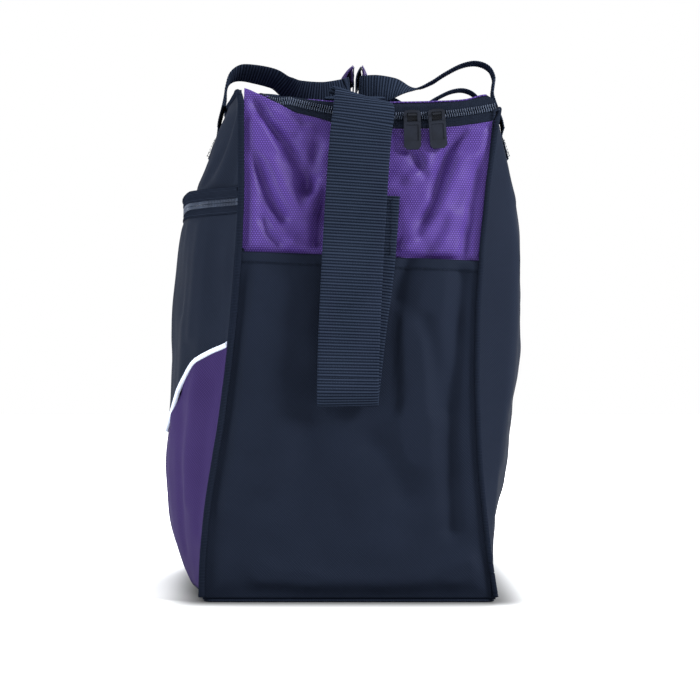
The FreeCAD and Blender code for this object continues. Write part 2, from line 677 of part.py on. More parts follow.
def handle_lines():
    """Middle lines of the two handles, from the fold line at a leg to the middle of the grip.

    The sheet gives the fold lines, the legs and the grip. The free curve between them is drawn by eye.
    """
    leg, grip, top = size("handle_leg"), size("grip_half"), size("grip_height")
    fold = size("handle_pivot_z") + 0.4
    front_y, back_y = size("grip_front_y"), size("grip_back_y")
    front = [(leg, -size("front_pivot_y"), fold, ACROSS), (leg - 1, -113.5, 418, ACROSS),
             (leg - 3, -109, 434, ACROSS), (leg - 6, -100, 448, ACROSS),
             (leg - 11, -84, 453, (1, -0.2, 0.2)), (leg - 17, -62, 451, (1, -0.3, 0.25)),
             (leg - 20, -44, 448, (1, -0.2, 0.4)), (leg - 23, -22, 445, (0.5, 0, 0.9)),
             (grip + 3, front_y, top, UPRIGHT), (0, front_y, top, UPRIGHT)]
    back = [(leg, size("back_pivot_y"), fold, ACROSS), (leg, 132.5, 416, ACROSS),
            (leg - 1, 131, 434, ACROSS), (leg - 3, 121, 451, ACROSS),
            (leg - 7, 103, 457, (1, 0.1, -0.1)), (leg - 12, 80, 452, (1, 0.3, -0.6)),
            (leg - 18, 50, 446, (0.5, 0.2, -1)), (leg - 24, 28, 442.5, (0.1, 0, -1)),
            (grip + 3, back_y, top, (0, 0, -1)), (0, back_y, top, (0, 0, -1))]
    return front, back


def make_handles():
    leg = size("handle_leg")
    width = size("handle_width")
    thick = size("handle_thick")
    front, back = handle_lines()
    ribbon("front_handle_loop", mirrored(front), width, thick)
    ribbon("back_handle_loop", mirrored(back), width, thick)
    low_z, top_z = size("patch_low"), size("patch_top")
    for side, x in (("right", leg), ("left", -leg)):
        for name, sign in (("front", -1), ("back", 1)):
            low = (x, sign * size(f"patch_{name}_low"), low_z, ACROSS)
            high = (x, sign * size(f"patch_{name}_top"), top_z, ACROSS)
            ribbon(f"{name}_handle_patch_{side}", [low, high], width, thick)

    for name, out, back_to in (("front", "-", "+"), ("back", "+", "-")):
        wrap = new_body(f"{name}_grip_wrap")
        near = f"@grip_{name}_y {out} (@handle_thick / 2 + @wrap_gap)"
        far = f"{near} {out} @wrap_thick"
        lip = f"@grip_{name}_y {back_to} (@handle_thick / 2 + @wrap_gap + 1.2)"
        top = "@grip_height + @handle_width / 2 + @wrap_rise"
        inside = "@grip_height - @handle_width / 2 - 0.4"
        low = f"{inside} - 2.2"
        corners = [(near, inside), (near, top), (far, top), (far, low), (lip, low), (lip, inside)]
        pad(wrap, add_profile(wrap, "YZ_Plane", corners, "0"), "2 * @grip_half", midplane=True)


# ---------------------------------------------------------------- sliders and pull tabs

def make_slider(label, placement):
    """Slider in its own frame: +X out of the zipper, +Y along it, the coil's middle at the origin."""
    slider = new_body(label)
    half = "@slider_width / 2"
    plate = [(f"-{half}", "-3.2"), (f"-{half} + 1.6", f"-{half}"), (f"{half} - 1.6", f"-{half}"),
             (half, "-3.2"), (half, "3.2"), (f"{half} - 1.6", half), (f"-{half} + 1.6", half),
             (f"-{half}", "3.2")]
    pad(slider, add_profile(slider, "YZ_Plane", plate, "0", "plate"), "@slider_thick", "plate_pad")
    face = "(@slider_thick - 0.1)"
    bridge = [(face, "-3.5"), (f"{face} + 5.2", "-3.5"), (f"{face} + 5.2", "3.5"), (face, "3.5"),
              (face, "2.6"), (f"{face} + 4.2", "2.6"), (f"{face} + 4.2", "-2.6"), (face, "-2.6")]
    pad(slider, add_profile(slider, "XY_Plane", bridge, "-0.8", "bridge"), "1.6", "bridge_pad")
    slider.Placement = placement
    doc.recompute()


def make_pull(label, placement):
    """Pull tab hanging from a slider's bridge, in the slider's frame: its eye rests above the bridge."""
    pull = new_body(label)
    half = "@pull_width / 2"
    low = "3.6 - @pull_length"
    body_profile = [(f"-{half}", f"{low} + 2.5"), (f"-{half} + 2.5", low), (f"{half} - 2.5", low),
                    (half, f"{low} + 2.5"), (half, "2.1"), (f"{half} - 1.5", "3.6"),
                    (f"-{half} + 1.5", "3.6"), (f"-{half}", "2.1")]
    face = "@slider_thick + 1.2"
    pad(pull, add_profile(pull, "YZ_Plane", body_profile, face, "tab"), "@pull_web", "tab_pad")
    raised = [(f"-{half}", "-6.2"), (half, "-6.2"), (half, f"{low} + 2.5"), (f"{half} - 2.5", low),
              (f"-{half} + 2.5", low), (f"-{half}", f"{low} + 2.5")]
    pad(pull, add_profile(pull, "YZ_Plane", raised, f"{face} + @pull_web - 0.1", "raised"),
        "@pull_thick - @pull_web + 0.1", "raised_pad")
    window = [("-4.2", "-5.4"), ("4.2", "-5.4"), ("4.2", "1.6"), ("-4.2", "1.6")]
    cut(pull, add_profile(pull, "YZ_Plane", window, face + " + 10", "window"), "30", "window_cut")
    dish = [(f"-{half} + 2", "-8.2"), (f"{half} - 2", "-8.2"), (f"{half} - 2", f"{low} + 7"),
            (f"-{half} + 2", f"{low} + 7")]
    cut(pull, add_profile(pull, "YZ_Plane", dish, f"{face} + @pull_thick + 5", "dish"), "5.6", "dish_cut")
    pull.Placement = placement
    doc.recompute()


def make_sliders():
    radius = size("saddle_radius") - size("tape_width") - size("coil_width") - size("coil_gap") / 2
    centre = Vector(0, size("saddle_y"), size("saddle_low") + size("saddle_radius"))
    face = size("tape_face") + 0.8 + 0.5
    for name, y in (("left", size("slider_left_y")), ("right", size("slider_right_y"))):
        angle = math.asin((y - centre.y) / radius)
        spot = Vector(face, y, centre.z - radius * math.cos(angle))
        turn = Rotation(Vector(1, 0, 0), math.degrees(angle))
        make_slider(f"{name}_slider", Placement(spot, turn))
        make_pull(f"{name}_pull_tab", Placement(spot, turn))

    top = len(SHELLS[POCKET]) - 1
    corner_x = STATIONS[POCKET][2]
    bow = size(f"{POCKET}_middle_{top}") - size(f"{POCKET}_corner_{top}")
    bow_radius = (corner_x**2 + bow**2) / (2 * bow)
    front = size(f"{POCKET}_middle_{top}") + 1.4 + 0.5
    centre_y = bow_radius + 1.9 - front
    x = -size("pocket_slider_x")
    angle = math.asin(x / (bow_radius + 1.9))
    spot = Vector(x, centre_y - (bow_radius + 1.9) * math.cos(angle), size("pocket_zip_height"))
    turn = Rotation(Vector(0, 0, 1), -90 + math.degrees(angle))
    make_slider("pocket_slider", Placement(spot, turn))
    make_pull("pocket_pull_tab", Placement(spot, turn))


def check_and_write():
    doc.recompute()
    failed = [item.Name for item in doc.Objects if "Invalid" in item.State or "Error" in item.State]
    if failed:
        raise RuntimeError(f"failed: {failed}")
    for node in NODES:
        if node.Shape.isNull() or not node.Shape.isValid():
            raise RuntimeError(f"{node.Label} has no valid shape")
        if node.Shape.Volume <= 0:
            raise RuntimeError(f"{node.Label} has no volume")
    os.makedirs("parts", exist_ok=True)
    for node in NODES:
        node.Shape.exportStep(f"parts/{node.Label}.step")
        print(node.Label, round(node.Shape.Volume, 1), "mm3,", len(node.Shape.Solids), "solid")


fill_sheet()
make_walls()
make_end_panels()
make_piping()
make_pocket()
make_main_zipper()
make_lid()
make_strap()
make_handles()
make_sliders()
check_and_write()
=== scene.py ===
import math

import bpy
import numpy as np
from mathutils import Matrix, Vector
from mathutils.bvhtree import BVHTree


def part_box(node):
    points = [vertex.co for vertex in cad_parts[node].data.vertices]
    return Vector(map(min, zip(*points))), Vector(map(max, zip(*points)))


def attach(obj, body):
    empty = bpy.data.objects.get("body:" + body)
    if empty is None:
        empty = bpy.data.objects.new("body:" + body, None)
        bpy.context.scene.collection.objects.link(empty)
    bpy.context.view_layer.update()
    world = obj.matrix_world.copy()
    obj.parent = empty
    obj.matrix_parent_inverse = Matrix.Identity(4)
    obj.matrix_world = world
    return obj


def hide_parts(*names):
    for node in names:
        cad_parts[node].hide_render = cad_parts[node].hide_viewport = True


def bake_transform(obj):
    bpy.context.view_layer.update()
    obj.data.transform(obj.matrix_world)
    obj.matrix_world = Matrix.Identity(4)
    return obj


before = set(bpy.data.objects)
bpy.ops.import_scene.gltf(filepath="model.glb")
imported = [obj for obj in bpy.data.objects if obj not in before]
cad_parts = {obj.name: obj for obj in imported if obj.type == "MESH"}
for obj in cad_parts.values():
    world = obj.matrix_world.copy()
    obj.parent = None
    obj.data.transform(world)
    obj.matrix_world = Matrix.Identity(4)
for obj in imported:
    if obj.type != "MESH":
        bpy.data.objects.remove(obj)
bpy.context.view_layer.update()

# Everything below is worked out in millimetres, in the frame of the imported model, and becomes metres where
# a mesh is made.
MM = 0.001
SIDES = (("right", 1), ("left", -1))
FRONT, BACK = -1, 1


# ---------------------------------------------------------------- reading the frame

def box_mm(node):
    """Lowest and highest corner of a CAD node's box."""
    low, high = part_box(node)
    return np.array(low) / MM, np.array(high) / MM


TREES = {}


def tree_of(node):
    if node not in TREES:
        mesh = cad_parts[node].data
        TREES[node] = BVHTree.FromPolygons([v.co for v in mesh.vertices], [p.vertices for p in mesh.polygons])
    return TREES[node]


def hit(nodes, start, direction):
    """First point where a ray meets one of the CAD nodes, or None."""
    best = None
    for node in nodes:
        spot = tree_of(node).ray_cast(Vector(start) * MM, Vector(direction))
        if spot[0] is not None and (best is None or spot[3] < best[1]):
            best = (np.array(spot[0]) / MM, spot[3])
    return None if best is None else best[0]


def edge_table(node, x, axis, side, span=None):
    """Where a flat node in the plane x ends: its Y for each Z (axis 1) or its Z for each Y (axis 2).

    span limits the heights that are read, where a slanted edge would hide the one that is wanted.
    """
    low, high = box_mm(node)
    other = 3 - axis
    first, last = span or (low[other] + 0.3, high[other] - 0.3)
    keys, values = [], []
    for key in np.linspace(first, last, 70):
        start, direction = [x, 0, 0], [0, 0, 0]
        start[other] = key
        start[axis] = high[axis] + 20 if side > 0 else low[axis] - 20
        direction[axis] = -side
        spot = hit([node], start, direction)
        if spot is not None:
            keys.append(key)
            values.append(spot[axis])
    return lambda at: np.interp(at, keys, values)


# ---------------------------------------------------------------- curves and grids

def along(points):
    """Distance of each point from the first, along the line."""
    return np.concatenate([[0], np.cumsum(np.linalg.norm(np.diff(points, axis=0), axis=1))])


def smooth_line(points, step):
    """Evenly spaced points on a smooth curve through the given ones."""
    given = np.array(points, float)
    dense = given
    if len(given) > 2:
        ends = np.vstack([2 * given[0] - given[1], given, 2 * given[-1] - given[-2]])
        share = np.arange(0, 1, 1 / 24)[:, None]
        dense = []
        for a, b, c, d in zip(ends, ends[1:], ends[2:], ends[3:]):
            dense.append(0.5 * (2 * b + (c - a) * share + (2 * a - 5 * b + 4 * c - d) * share**2
                                + (3 * b - a - 3 * c + d) * share**3))
        dense = np.vstack([*dense, given[-1:]])
    run = along(dense)
    places = np.linspace(0, run[-1], max(2, int(round(run[-1] / step)) + 1))
    return np.stack([np.interp(places, run, dense[:, k]) for k in range(given.shape[1])], axis=1)


def spread(*parts):
    """Coordinates, broadcast to one shape, as a grid or line of points."""
    return np.stack(np.broadcast_arrays(*parts), -1)


def unit(vectors):
    return vectors / np.linalg.norm(vectors, axis=1, keepdims=True)


def ease(t):
    """From 0 to 1 with a soft start and end, and level outside."""
    t = np.clip(t, 0, 1)
    return t * t * (3 - 2 * t)


def soften(values, times):
    """Rounds a grid's creases; its edge rows and columns stay."""
    out = np.array(values, float)
    for _ in range(times):
        out[1:-1] = out[1:-1] * 0.5 + (out[:-2] + out[2:]) * 0.25
        out[:, 1:-1] = out[:, 1:-1] * 0.5 + (out[:, :-2] + out[:, 2:]) * 0.25
    return out


def soften_line(values, times):
    """Rounds a line's corners; its ends stay."""
    return soften(values[:, None].repeat(3, 1), times)[:, 1]


def both_sides(rows):
    """Folds given for the right half, on both halves."""
    return [([(s * a, b) for a, b in line], width, height) for s in (-1, 1) for line, width, height in rows]


def normals(points, outward):
    """Unit normals of a grid, on the side of outward."""
    n = np.cross(np.gradient(points, axis=1), np.gradient(points, axis=0))
    n /= np.linalg.norm(n, axis=-1, keepdims=True) + 1e-9
    turn = np.sign((n * np.array(outward, float)).sum(-1, keepdims=True))
    turn[turn == 0] = 1
    return n * turn


def ripple(a, b, size, seed):
    """Smooth bumps of about that size, from -1 to 1, the same on each run."""
    rng = np.random.default_rng(seed)
    out = np.zeros(np.shape(a))
    for _ in range(7):
        angle = rng.uniform(0, math.pi)
        wave = rng.uniform(0.7, 1.6) * size
        phase = rng.uniform(0, 2 * math.pi)
        out += np.sin((a * math.cos(angle) + b * math.sin(angle)) * 2 * math.pi / wave + phase)
    return out / 4.5


def distance_to(a, b, line):
    """Distance from each place (a, b) to a line of points."""
    spots = np.stack([a, b], -1)
    best = np.full(np.shape(a), 1e9)
    for p, q in zip(np.array(line, float), np.array(line[1:], float)):
        d = q - p
        t = np.clip(((spots - p) @ d) / (d @ d), 0, 1)
        best = np.minimum(best, np.linalg.norm(spots - p - t[..., None] * d, axis=-1))
    return best


def folds(a, b, rows):
    """Sum of soft ridges and valleys: each row is (line, width, height)."""
    out = np.zeros(np.shape(a))
    for line, width, height in rows:
        out += height * np.exp(-(distance_to(a, b, smooth_line(line, 4)) / width) ** 2)
    return out


# ---------------------------------------------------------------- making pieces

def mesh_object(name, verts, faces, uv):
    """Smooth mesh from points in millimetres, with its weave's UV map, also in millimetres."""
    mesh = bpy.data.meshes.new(name)
    mesh.from_pydata((np.array(verts, float) * MM).tolist(), [], faces)
    layer = mesh.uv_layers.new(name="Weave")
    corners = np.array([uv[i] for face in faces for i in face], np.float32)
    layer.data.foreach_set("uv", corners.ravel())
    mesh.shade_smooth()
    obj = bpy.data.objects.new(name, mesh)
    bpy.context.scene.collection.objects.link(obj)
    return obj


def grid_faces(rows, columns, wrap=False):
    faces = []
    for i in range(rows - 1):
        for j in range(columns if wrap else columns - 1):
            k = (j + 1) % columns
            faces.append((i * columns + j, i * columns + k, (i + 1) * columns + k, (i + 1) * columns + j))
    return faces


def ring_faces(rows, columns):
    """Sides and closed ends of a row of rings."""
    ends = [tuple(range(columns))[::-1], tuple((rows - 1) * columns + k for k in range(columns))]
    return grid_faces(rows, columns, wrap=True) + ends


def place(obj, body, slot, nodes=()):
    """Gives a piece its material, hides the CAD nodes it stands for, and attaches it to the body it moves
    with; a piece given two bodies is attached to neither.
    """
    obj.data.materials.append(MATERIALS[slot])
    if nodes:
        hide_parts(*nodes)
    if isinstance(body, str):
        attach(obj, body)
    else:
        first, second, start, end = body
        [v * MM for v in start]
        [v * MM for v in end]
        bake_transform(obj)
    return obj


def panel(name, points, uv, body, slot, nodes=(), thick=1.2, cut=None):
    """Cloth panel from a grid of points. cut is the same panel before its folds, for its flat size."""
    rows, columns = points.shape[:2]
    obj = mesh_object(name, points.reshape(-1, 3), grid_faces(rows, columns), uv.reshape(-1, 2))
    wall = obj.modifiers.new("thickness", "SOLIDIFY")
    wall.thickness = thick * MM
    wall.offset = 0
    place(obj, body, slot, nodes)
    flat = points if cut is None else cut
    across = max(along(row)[-1] for row in flat)
    up = max(along(column)[-1] for column in flat.transpose(1, 0, 2))


def tube(name, path, radius, body, slot, nodes=(), sides=10, ripples=0.0):
    """Round piping or thread along a line of points."""
    path = np.array(path, float)
    steps = np.gradient(path, axis=0)
    steps /= np.linalg.norm(steps, axis=1, keepdims=True) + 1e-9
    first = np.cross(steps, [0.03, 0.05, 1.0])
    weak = np.linalg.norm(first, axis=1) < 0.2
    first[weak] = np.cross(steps[weak], [1.0, 0.02, 0.03])
    for i in range(1, len(first)):
        if first[i] @ first[i - 1] < 0:
            first[i] = -first[i]
    first = unit(first)
    second = np.cross(steps, first)
    run = along(path)
    size = radius * (1 + ripples * ripple(run, run * 0, 9, 1))
    turn = np.linspace(0, 2 * math.pi, sides, endpoint=False)
    rings = (path[:, None] + (first[:, None] * np.cos(turn)[None, :, None]
                              + second[:, None] * np.sin(turn)[None, :, None]) * size[:, None, None])
    uv = spread((turn * radius)[None, :], run[:, None])
    obj = mesh_object(name, rings.reshape(-1, 3), ring_faces(len(path), sides), uv.reshape(-1, 2))
    place(obj, body, slot, nodes)


def frames_of(stations, step):
    """Smooth middle line of a webbing, with its width direction and its face direction at each point."""
    given = np.array([s[:3] for s in stations], float)
    middle = smooth_line(given, step)
    run, places = along(middle), along(given)
    places *= run[-1] / places[-1]
    across = np.stack([np.interp(run, places, [s[3][k] for s in stations]) for k in range(3)], 1)
    across = soften_line(across, 12)
    forward = unit(np.gradient(middle, axis=0))
    across = unit(across - forward * (across * forward).sum(1, keepdims=True))
    return middle, across, np.cross(forward, across), run


# Pitch and depth of the ribs across the shoulder strap
RIB = 2.46
RIB_DEPTH = 0.34


def webbing(name, stations, width, thick, body, nodes=(), rib=RIB, cup=0.0):
    """Ribbed webbing with selvedges, bent through its stations: (x, y, z, width direction)."""
    middle, across, face, run = frames_of(stations, rib / 3)
    shares = np.array([-1, -0.985, -0.93, -0.75, -0.5, -0.25, 0, 0.25, 0.5, 0.75, 0.93, 0.985, 1])
    depth = np.sqrt(np.clip(1 - shares**10, 0, 1)) * 0.5 * thick
    ribs = (0.5 + 0.5 * np.cos(run * 2 * math.pi / rib))[:, None] * RIB_DEPTH
    inside = np.clip((1 - np.abs(shares)) * 12, 0, 1)[None, :]
    height = depth[None, :] - RIB_DEPTH * inside + ribs * inside
    bend = cup * (shares**2)[None, :, None] * face[:, None]
    side = across[:, None] * (shares * width / 2)[None, :, None] + bend
    top = middle[:, None] + side + face[:, None] * height[..., None]
    low = (middle[:, None] + side - face[:, None] * height[..., None])[:, ::-1]
    rings = np.concatenate([top, low[:, 1:-1]], axis=1)
    u = np.concatenate([shares, shares[::-1][1:-1]]) * width / 2
    uv = spread(u[None, :], run[:, None])
    obj = mesh_object(name, rings.reshape(-1, 3), ring_faces(*rings.shape[:2]), uv.reshape(-1, 2))
    place(obj, body, "webbing", nodes)


def beads(name, path, out, size, body, slot, nodes=()):
    """A small rounded bar at each point: zipper teeth, or stitches when they lie along the line.

    size is (along the line, across it, out of the face), in millimetres.
    """
    out = np.broadcast_to(np.array(out, float), path.shape)
    forward = unit(np.gradient(path, axis=0))
    side = unit(np.cross(out, forward))
    long_way, wide_way = (side, forward) if size[1] > size[0] else (forward, side)
    long_size, wide_size = max(size[:2]), min(size[:2])
    turn = np.linspace(0, 2 * math.pi, 6, endpoint=False)
    shape = ring_faces(4, len(turn))
    verts, faces = [], []
    for i, spot in enumerate(path):
        faces += [tuple(len(verts) + v for v in f) for f in shape]
        for share, swell in ((-1, 0.35), (-0.72, 0.95), (0.72, 0.95), (1, 0.35)):
            centre = spot + long_way[i] * share * long_size / 2
            verts += [centre + (wide_way[i] * math.cos(t) * wide_size / 2
                                + out[i] * math.sin(t) * size[2] / 2) * swell for t in turn]
    place(mesh_object(name, verts, faces, [(v[1] + v[0], v[2]) for v in verts]), body, slot, nodes)


def stitches(name, path, out, body, pitch=3.6):
    """Stitches just above the face that path lies on, facing out."""
    path = smooth_line(path, 2.0) + np.array(out, float) * 0.15
    beads(name, smooth_line(path, pitch), out, (pitch - 1.1, 0.55, 0.55), body, "thread")


# ---------------------------------------------------------------- materials

class Shade:
    """A node material with a weave read from the pieces' own UV map, in millimetres."""

    def __init__(self, name, roughness, specular, on_uv=True):
        self.material = bpy.data.materials.new(name)
        self.material.use_nodes = True
        self.nodes = self.material.node_tree.nodes
        self.links = self.material.node_tree.links
        self.shader = self.nodes["Principled BSDF"]
        self.shader.inputs["Roughness"].default_value = roughness
        self.shader.inputs["Specular IOR Level"].default_value = specular
        self.place = self.new("ShaderNodeTexCoord").outputs["Object"]
        if on_uv:
            layer = self.new("ShaderNodeUVMap")
            layer.uv_map = "Weave"
            split = self.new("ShaderNodeSeparateXYZ")
            self.links.new(layer.outputs["UV"], split.inputs[0])
            self.u, self.v = split.outputs[0], split.outputs[1]

    def new(self, kind):
        return self.nodes.new(kind)

    def put(self, socket, value):
        if hasattr(value, "is_output"):
            self.links.new(value, socket)
        else:
            socket.default_value = value

    def sheen(self, weight, roughness, tint):
        for part, value in (("Weight", weight), ("Roughness", roughness), ("Tint", (*tint, 1.0))):
            self.shader.inputs[f"Sheen {part}"].default_value = value

    def math(self, kind, a, b=0.0):
        node = self.new("ShaderNodeMath")
        node.operation = kind
        self.put(node.inputs[0], a)
        self.put(node.inputs[1], b)
        return node.outputs[0]

    def add(self, a, b):
        return self.math("ADD", a, b)

    def times(self, a, b):
        return self.math("MULTIPLY", a, b)

    def noise(self, scale, detail=3.0):
        node = self.new("ShaderNodeTexNoise")
        self.links.new(self.place, node.inputs["Vector"])
        node.inputs["Scale"].default_value = scale
        node.inputs["Detail"].default_value = detail
        return node.outputs["Fac"]

    def mix(self, share, first, second):
        node = self.new("ShaderNodeMix")
        node.data_type = "RGBA"
        self.put(node.inputs[0], share)
        self.put(node.inputs[6], (*first, 1.0))
        self.put(node.inputs[7], (*second, 1.0))
        return node.outputs[2]

    def finish(self, colour, height, depth, roughness=None):
        self.put(self.shader.inputs["Base Color"], colour)
        if roughness is not None:
            self.put(self.shader.inputs["Roughness"], roughness)
        bump = self.new("ShaderNodeBump")
        bump.inputs["Strength"].default_value = 1.0
        bump.inputs["Distance"].default_value = depth * MM
        self.put(bump.inputs["Height"], height)
        self.links.new(bump.outputs["Normal"], self.shader.inputs["Normal"])
        return self.material


def stripe(shade, across, up, pitch):
    """Cosine stripes from 0 to 1 along the direction (across, up)."""
    turn = 2 * math.pi / pitch
    angle = shade.add(shade.times(shade.u, across * turn), shade.times(shade.v, up * turn))
    return shade.add(shade.times(shade.math("COSINE", angle), 0.5), 0.5)


def woven(name, dark, light, pitch, tint=(0.5, 0.6, 0.9)):
    """Twill: diagonal lines broken into dots, with a little wear and colour change."""
    shade = Shade(name, 0.72, 0.03)
    shade.sheen(0.004, 0.45, tint)
    line = stripe(shade, 0.707, -0.707, pitch)
    dots = stripe(shade, 0.707, 0.707, pitch * 1.5)
    weave = shade.times(line, shade.add(shade.times(dots, 0.6), 0.4))
    height = shade.add(weave, shade.times(shade.noise(900.0, 2.0), 0.35))
    patch = shade.times(shade.noise(14.0), 0.25)
    share = shade.add(shade.times(weave, 0.7), patch)
    return shade.finish(shade.mix(share, dark, light), height, 0.12)


def honeycomb(name, dark, light):
    """Satin with a raised honeycomb of dots: three sets of stripes, 60 degrees apart."""
    shade = Shade(name, 0.46, 0.10)
    shade.sheen(0.02, 0.35, (0.75, 0.6, 1.0))
    rows = [stripe(shade, math.cos(a), math.sin(a), 1.75) for a in np.radians([90, 30, -30]).tolist()]
    dots = shade.times(shade.add(shade.add(rows[0], rows[1]), rows[2]), 1 / 3)
    sharp = shade.math("POWER", dots, 2.2)
    share = shade.add(shade.times(sharp, 0.95), shade.times(shade.noise(22.0), 0.22))
    return shade.finish(shade.mix(share, dark, light), sharp, 0.22)


def ribbed(name, dark, light, pitch, dots):
    """Webbing, tape and piping: ribs across the length, each broken into dots."""
    shade = Shade(name, 0.8, 0.0)
    shade.sheen(0.002, 0.5, (0.6, 0.7, 0.95))
    rib, half = stripe(shade, 0, 1, pitch), stripe(shade, 0, 1, pitch * 2)
    grain = shade.times(stripe(shade, 1, 0, dots), shade.add(shade.times(half, 0.7), 0.15))
    height = shade.add(rib, shade.times(grain, 0.6))
    base = shade.times(rib, shade.math("SUBTRACT", 0.85, shade.times(grain, 0.5)))
    share = shade.add(base, shade.times(shade.noise(30.0), 0.2))
    return shade.finish(shade.mix(share, dark, light), height, 0.2)


def moulded(name, dark, light, roughness, metallic=0.0):
    """Moulded or painted part: fine grain, with a little wear."""
    shade = Shade(name, roughness, 0.12, on_uv=False)
    shade.shader.inputs["Metallic"].default_value = metallic
    worn = shade.times(shade.noise(90.0, 5.0), 0.9)
    rough = shade.add(shade.times(worn, 0.25), roughness - 0.1)
    return shade.finish(shade.mix(worn, dark, light), shade.noise(1600.0, 2.0), 0.03, rough)


def make_materials():
    navy, slate = (0.0022, 0.0033, 0.0068), (0.0115, 0.0165, 0.0300)
    return {
        "black_polyester": woven("twill_black", navy, slate, 1.3),
        "purple_mesh": honeycomb("honeycomb_purple", (0.0130, 0.0055, 0.042), (0.084, 0.046, 0.240)),
        "purple_polyester": woven("twill_purple", (0.0110, 0.0060, 0.032), (0.036, 0.022, 0.085), 1.5,
                                  tint=(0.6, 0.55, 1.0)),
        "webbing": ribbed("webbing_black", (0.0014, 0.0021, 0.0042), (0.0180, 0.0250, 0.0420), RIB, 1.27),
        "piping_black": ribbed("piping_black", (0.0020, 0.0028, 0.0055), (0.0100, 0.0135, 0.0230), 1.2, 1.2),
        "piping_white": ribbed("piping_white", (0.36, 0.40, 0.50), (0.72, 0.77, 0.88), 1.2, 1.2),
        "zipper_tape": ribbed("tape_black", (0.0024, 0.0032, 0.0060), (0.0125, 0.0165, 0.0270), 0.9, 0.9),
        "zipper_coil": moulded("coil_nylon", (0.008, 0.011, 0.020), (0.060, 0.078, 0.118), 0.34),
        "slider_metal": moulded("slider_enamel", (0.004, 0.005, 0.007), (0.018, 0.020, 0.026), 0.33, 0.3),
        "pull_rubber": moulded("pull_rubber", (0.0018, 0.0026, 0.0050), (0.0080, 0.0108, 0.0190), 0.6),
        "board": moulded("base_board", (0.012, 0.013, 0.016), (0.03, 0.032, 0.036), 0.6),
        "foam": woven("cup_fabric", (0.008, 0.009, 0.013), (0.032, 0.034, 0.042), 1.6),
        "thread": ribbed("thread_black", (0.0030, 0.0040, 0.0075), (0.0150, 0.0200, 0.0320), 0.8, 0.8),
        "emblem": woven("emblem_grey", (0.20, 0.24, 0.31), (0.50, 0.55, 0.64), 0.9),
    }


# ---------------------------------------------------------------- end panels

END_FACE = 168.0
# The end cloths are cut flat in this plane
END_CUT = END_FACE - 1.2
# How far each cloth runs on under the piping at its seams
TUCK = 2.4
TEETH_PITCH = 1.9

# Folds of the right end's mesh: (line of (y, z), width, height outwards)
MESH_FOLDS = [
    ([(-80, 412), (-71, 398), (-60, 385), (-50, 372), (-40, 355), (-35, 340)], 6.0, -5.0),
    ([(-76, 392), (-71, 380), (-62, 357), (-53, 335), (-46, 325), (-38, 321), (-28, 330), (-21, 344)],
     6.5, 4.6),
    ([(-36, 340), (-31, 356), (-27, 376)], 5.0, -3.2),
    ([(-79, 366), (-72, 348), (-64, 330), (-56, 316)], 5.0, -4.2),
    ([(-84, 400), (-83, 360), (-82, 320), (-84, 296)], 5.0, 2.6),
    ([(-72, 314), (-66, 303), (-58, 295)], 4.0, -3.0),
    ([(-62, 306), (-56, 300), (-48, 296)], 5.0, 2.0),
    ([(-60, 398), (-48, 392), (-38, 388)], 6.0, 2.6),
    ([(-42, 402), (-38, 390), (-44, 384)], 4.0, -2.2),
    ([(-22, 340), (-24, 318), (-26, 296)], 6.0, -5.0),
    ([(102, 390), (92, 362), (79, 332), (66, 311), (48, 292)], 6.0, 4.6),
    ([(94, 384), (81, 371), (74, 348), (68, 326), (56, 302)], 5.0, -4.2),
    ([(110, 364), (102, 332), (96, 300), (93, 284)], 5.0, -4.6),
    ([(112, 384), (108, 374), (106, 366)], 5.0, 3.0),
    ([(50, 348), (58, 352), (64, 360), (62, 372)], 5.0, 3.0),
    ([(46, 372), (54, 364), (60, 352)], 4.0, -2.6),
    ([(84, 318), (80, 302), (72, 288)], 5.0, 2.4),
]
# Dents of the right end's lower panel
LOWER_FOLDS = [
    ([(-84, 262), (-92, 180), (-108, 80)], 12.0, 2.0),
    ([(-60, 250), (-66, 150), (-80, 40)], 26.0, 1.6),
    ([(70, 262), (60, 190), (52, 120)], 24.0, 2.2),
    ([(93, 268), (86, 200), (80, 130), (84, 60)], 8.0, -2.6),
    ([(62, 230), (70, 196), (74, 160)], 9.0, -1.8),
    ([(20, 130), (36, 112), (44, 88)], 12.0, -2.0),
    ([(-30, 150), (-40, 110), (-64, 84)], 14.0, -1.6),
    ([(100, 30), (60, 18), (0, 14), (-70, 20)], 12.0, 1.8),
    ([(48, 284), (40, 262), (38, 250)], 7.0, -1.6),
]


def end_grid(node, sign, columns, spans):
    """Edges of a flat end panel: its front and back at each height, and its bottom and top in each column.

    spans are the heights that its front and back edges are read between.
    """
    x = sign * END_CUT
    front = edge_table(node, x, 1, FRONT, spans[0])
    back = edge_table(node, x, 1, BACK, spans[1])
    share = np.linspace(0, 1, columns)
    low, high = box_mm(node)
    found = []
    for edge, z in ((edge_table(node, x, 2, FRONT), low[2]), (edge_table(node, x, 2, BACK), high[2])):
        for _ in range(6):
            z = edge(front(z) + 0.7 + (back(z) - front(z) - 1.4) * share)
        found.append(z)
    return front, back, share, found[0], found[1]


def fill_grid(front, back, share, z_low, z_high, steps):
    z = z_low[None, :] + (z_high - z_low)[None, :] * steps[:, None]
    y = front(z) - TUCK + (back(z) - front(z) + 2 * TUCK) * share[None, :]
    return y, z


def pinned(y, z, front, back, z_low, z_high, reach):
    """0 at the panel's sewn edges, 1 further in than reach."""
    gap = np.minimum(np.minimum(y - front(z), back(z) - y), np.minimum(z - z_low, z_high - z))
    return ease(gap / reach)


def under_strap(y, z, top):
    """1 where the strap and its anchor lie on the panel."""
    inside = np.clip((34 - np.abs(y - 10)) / 8, 0, 1)
    return inside * np.clip((top - z) / 10, 0, 1) * np.clip((z - 150) / 10, 0, 1)


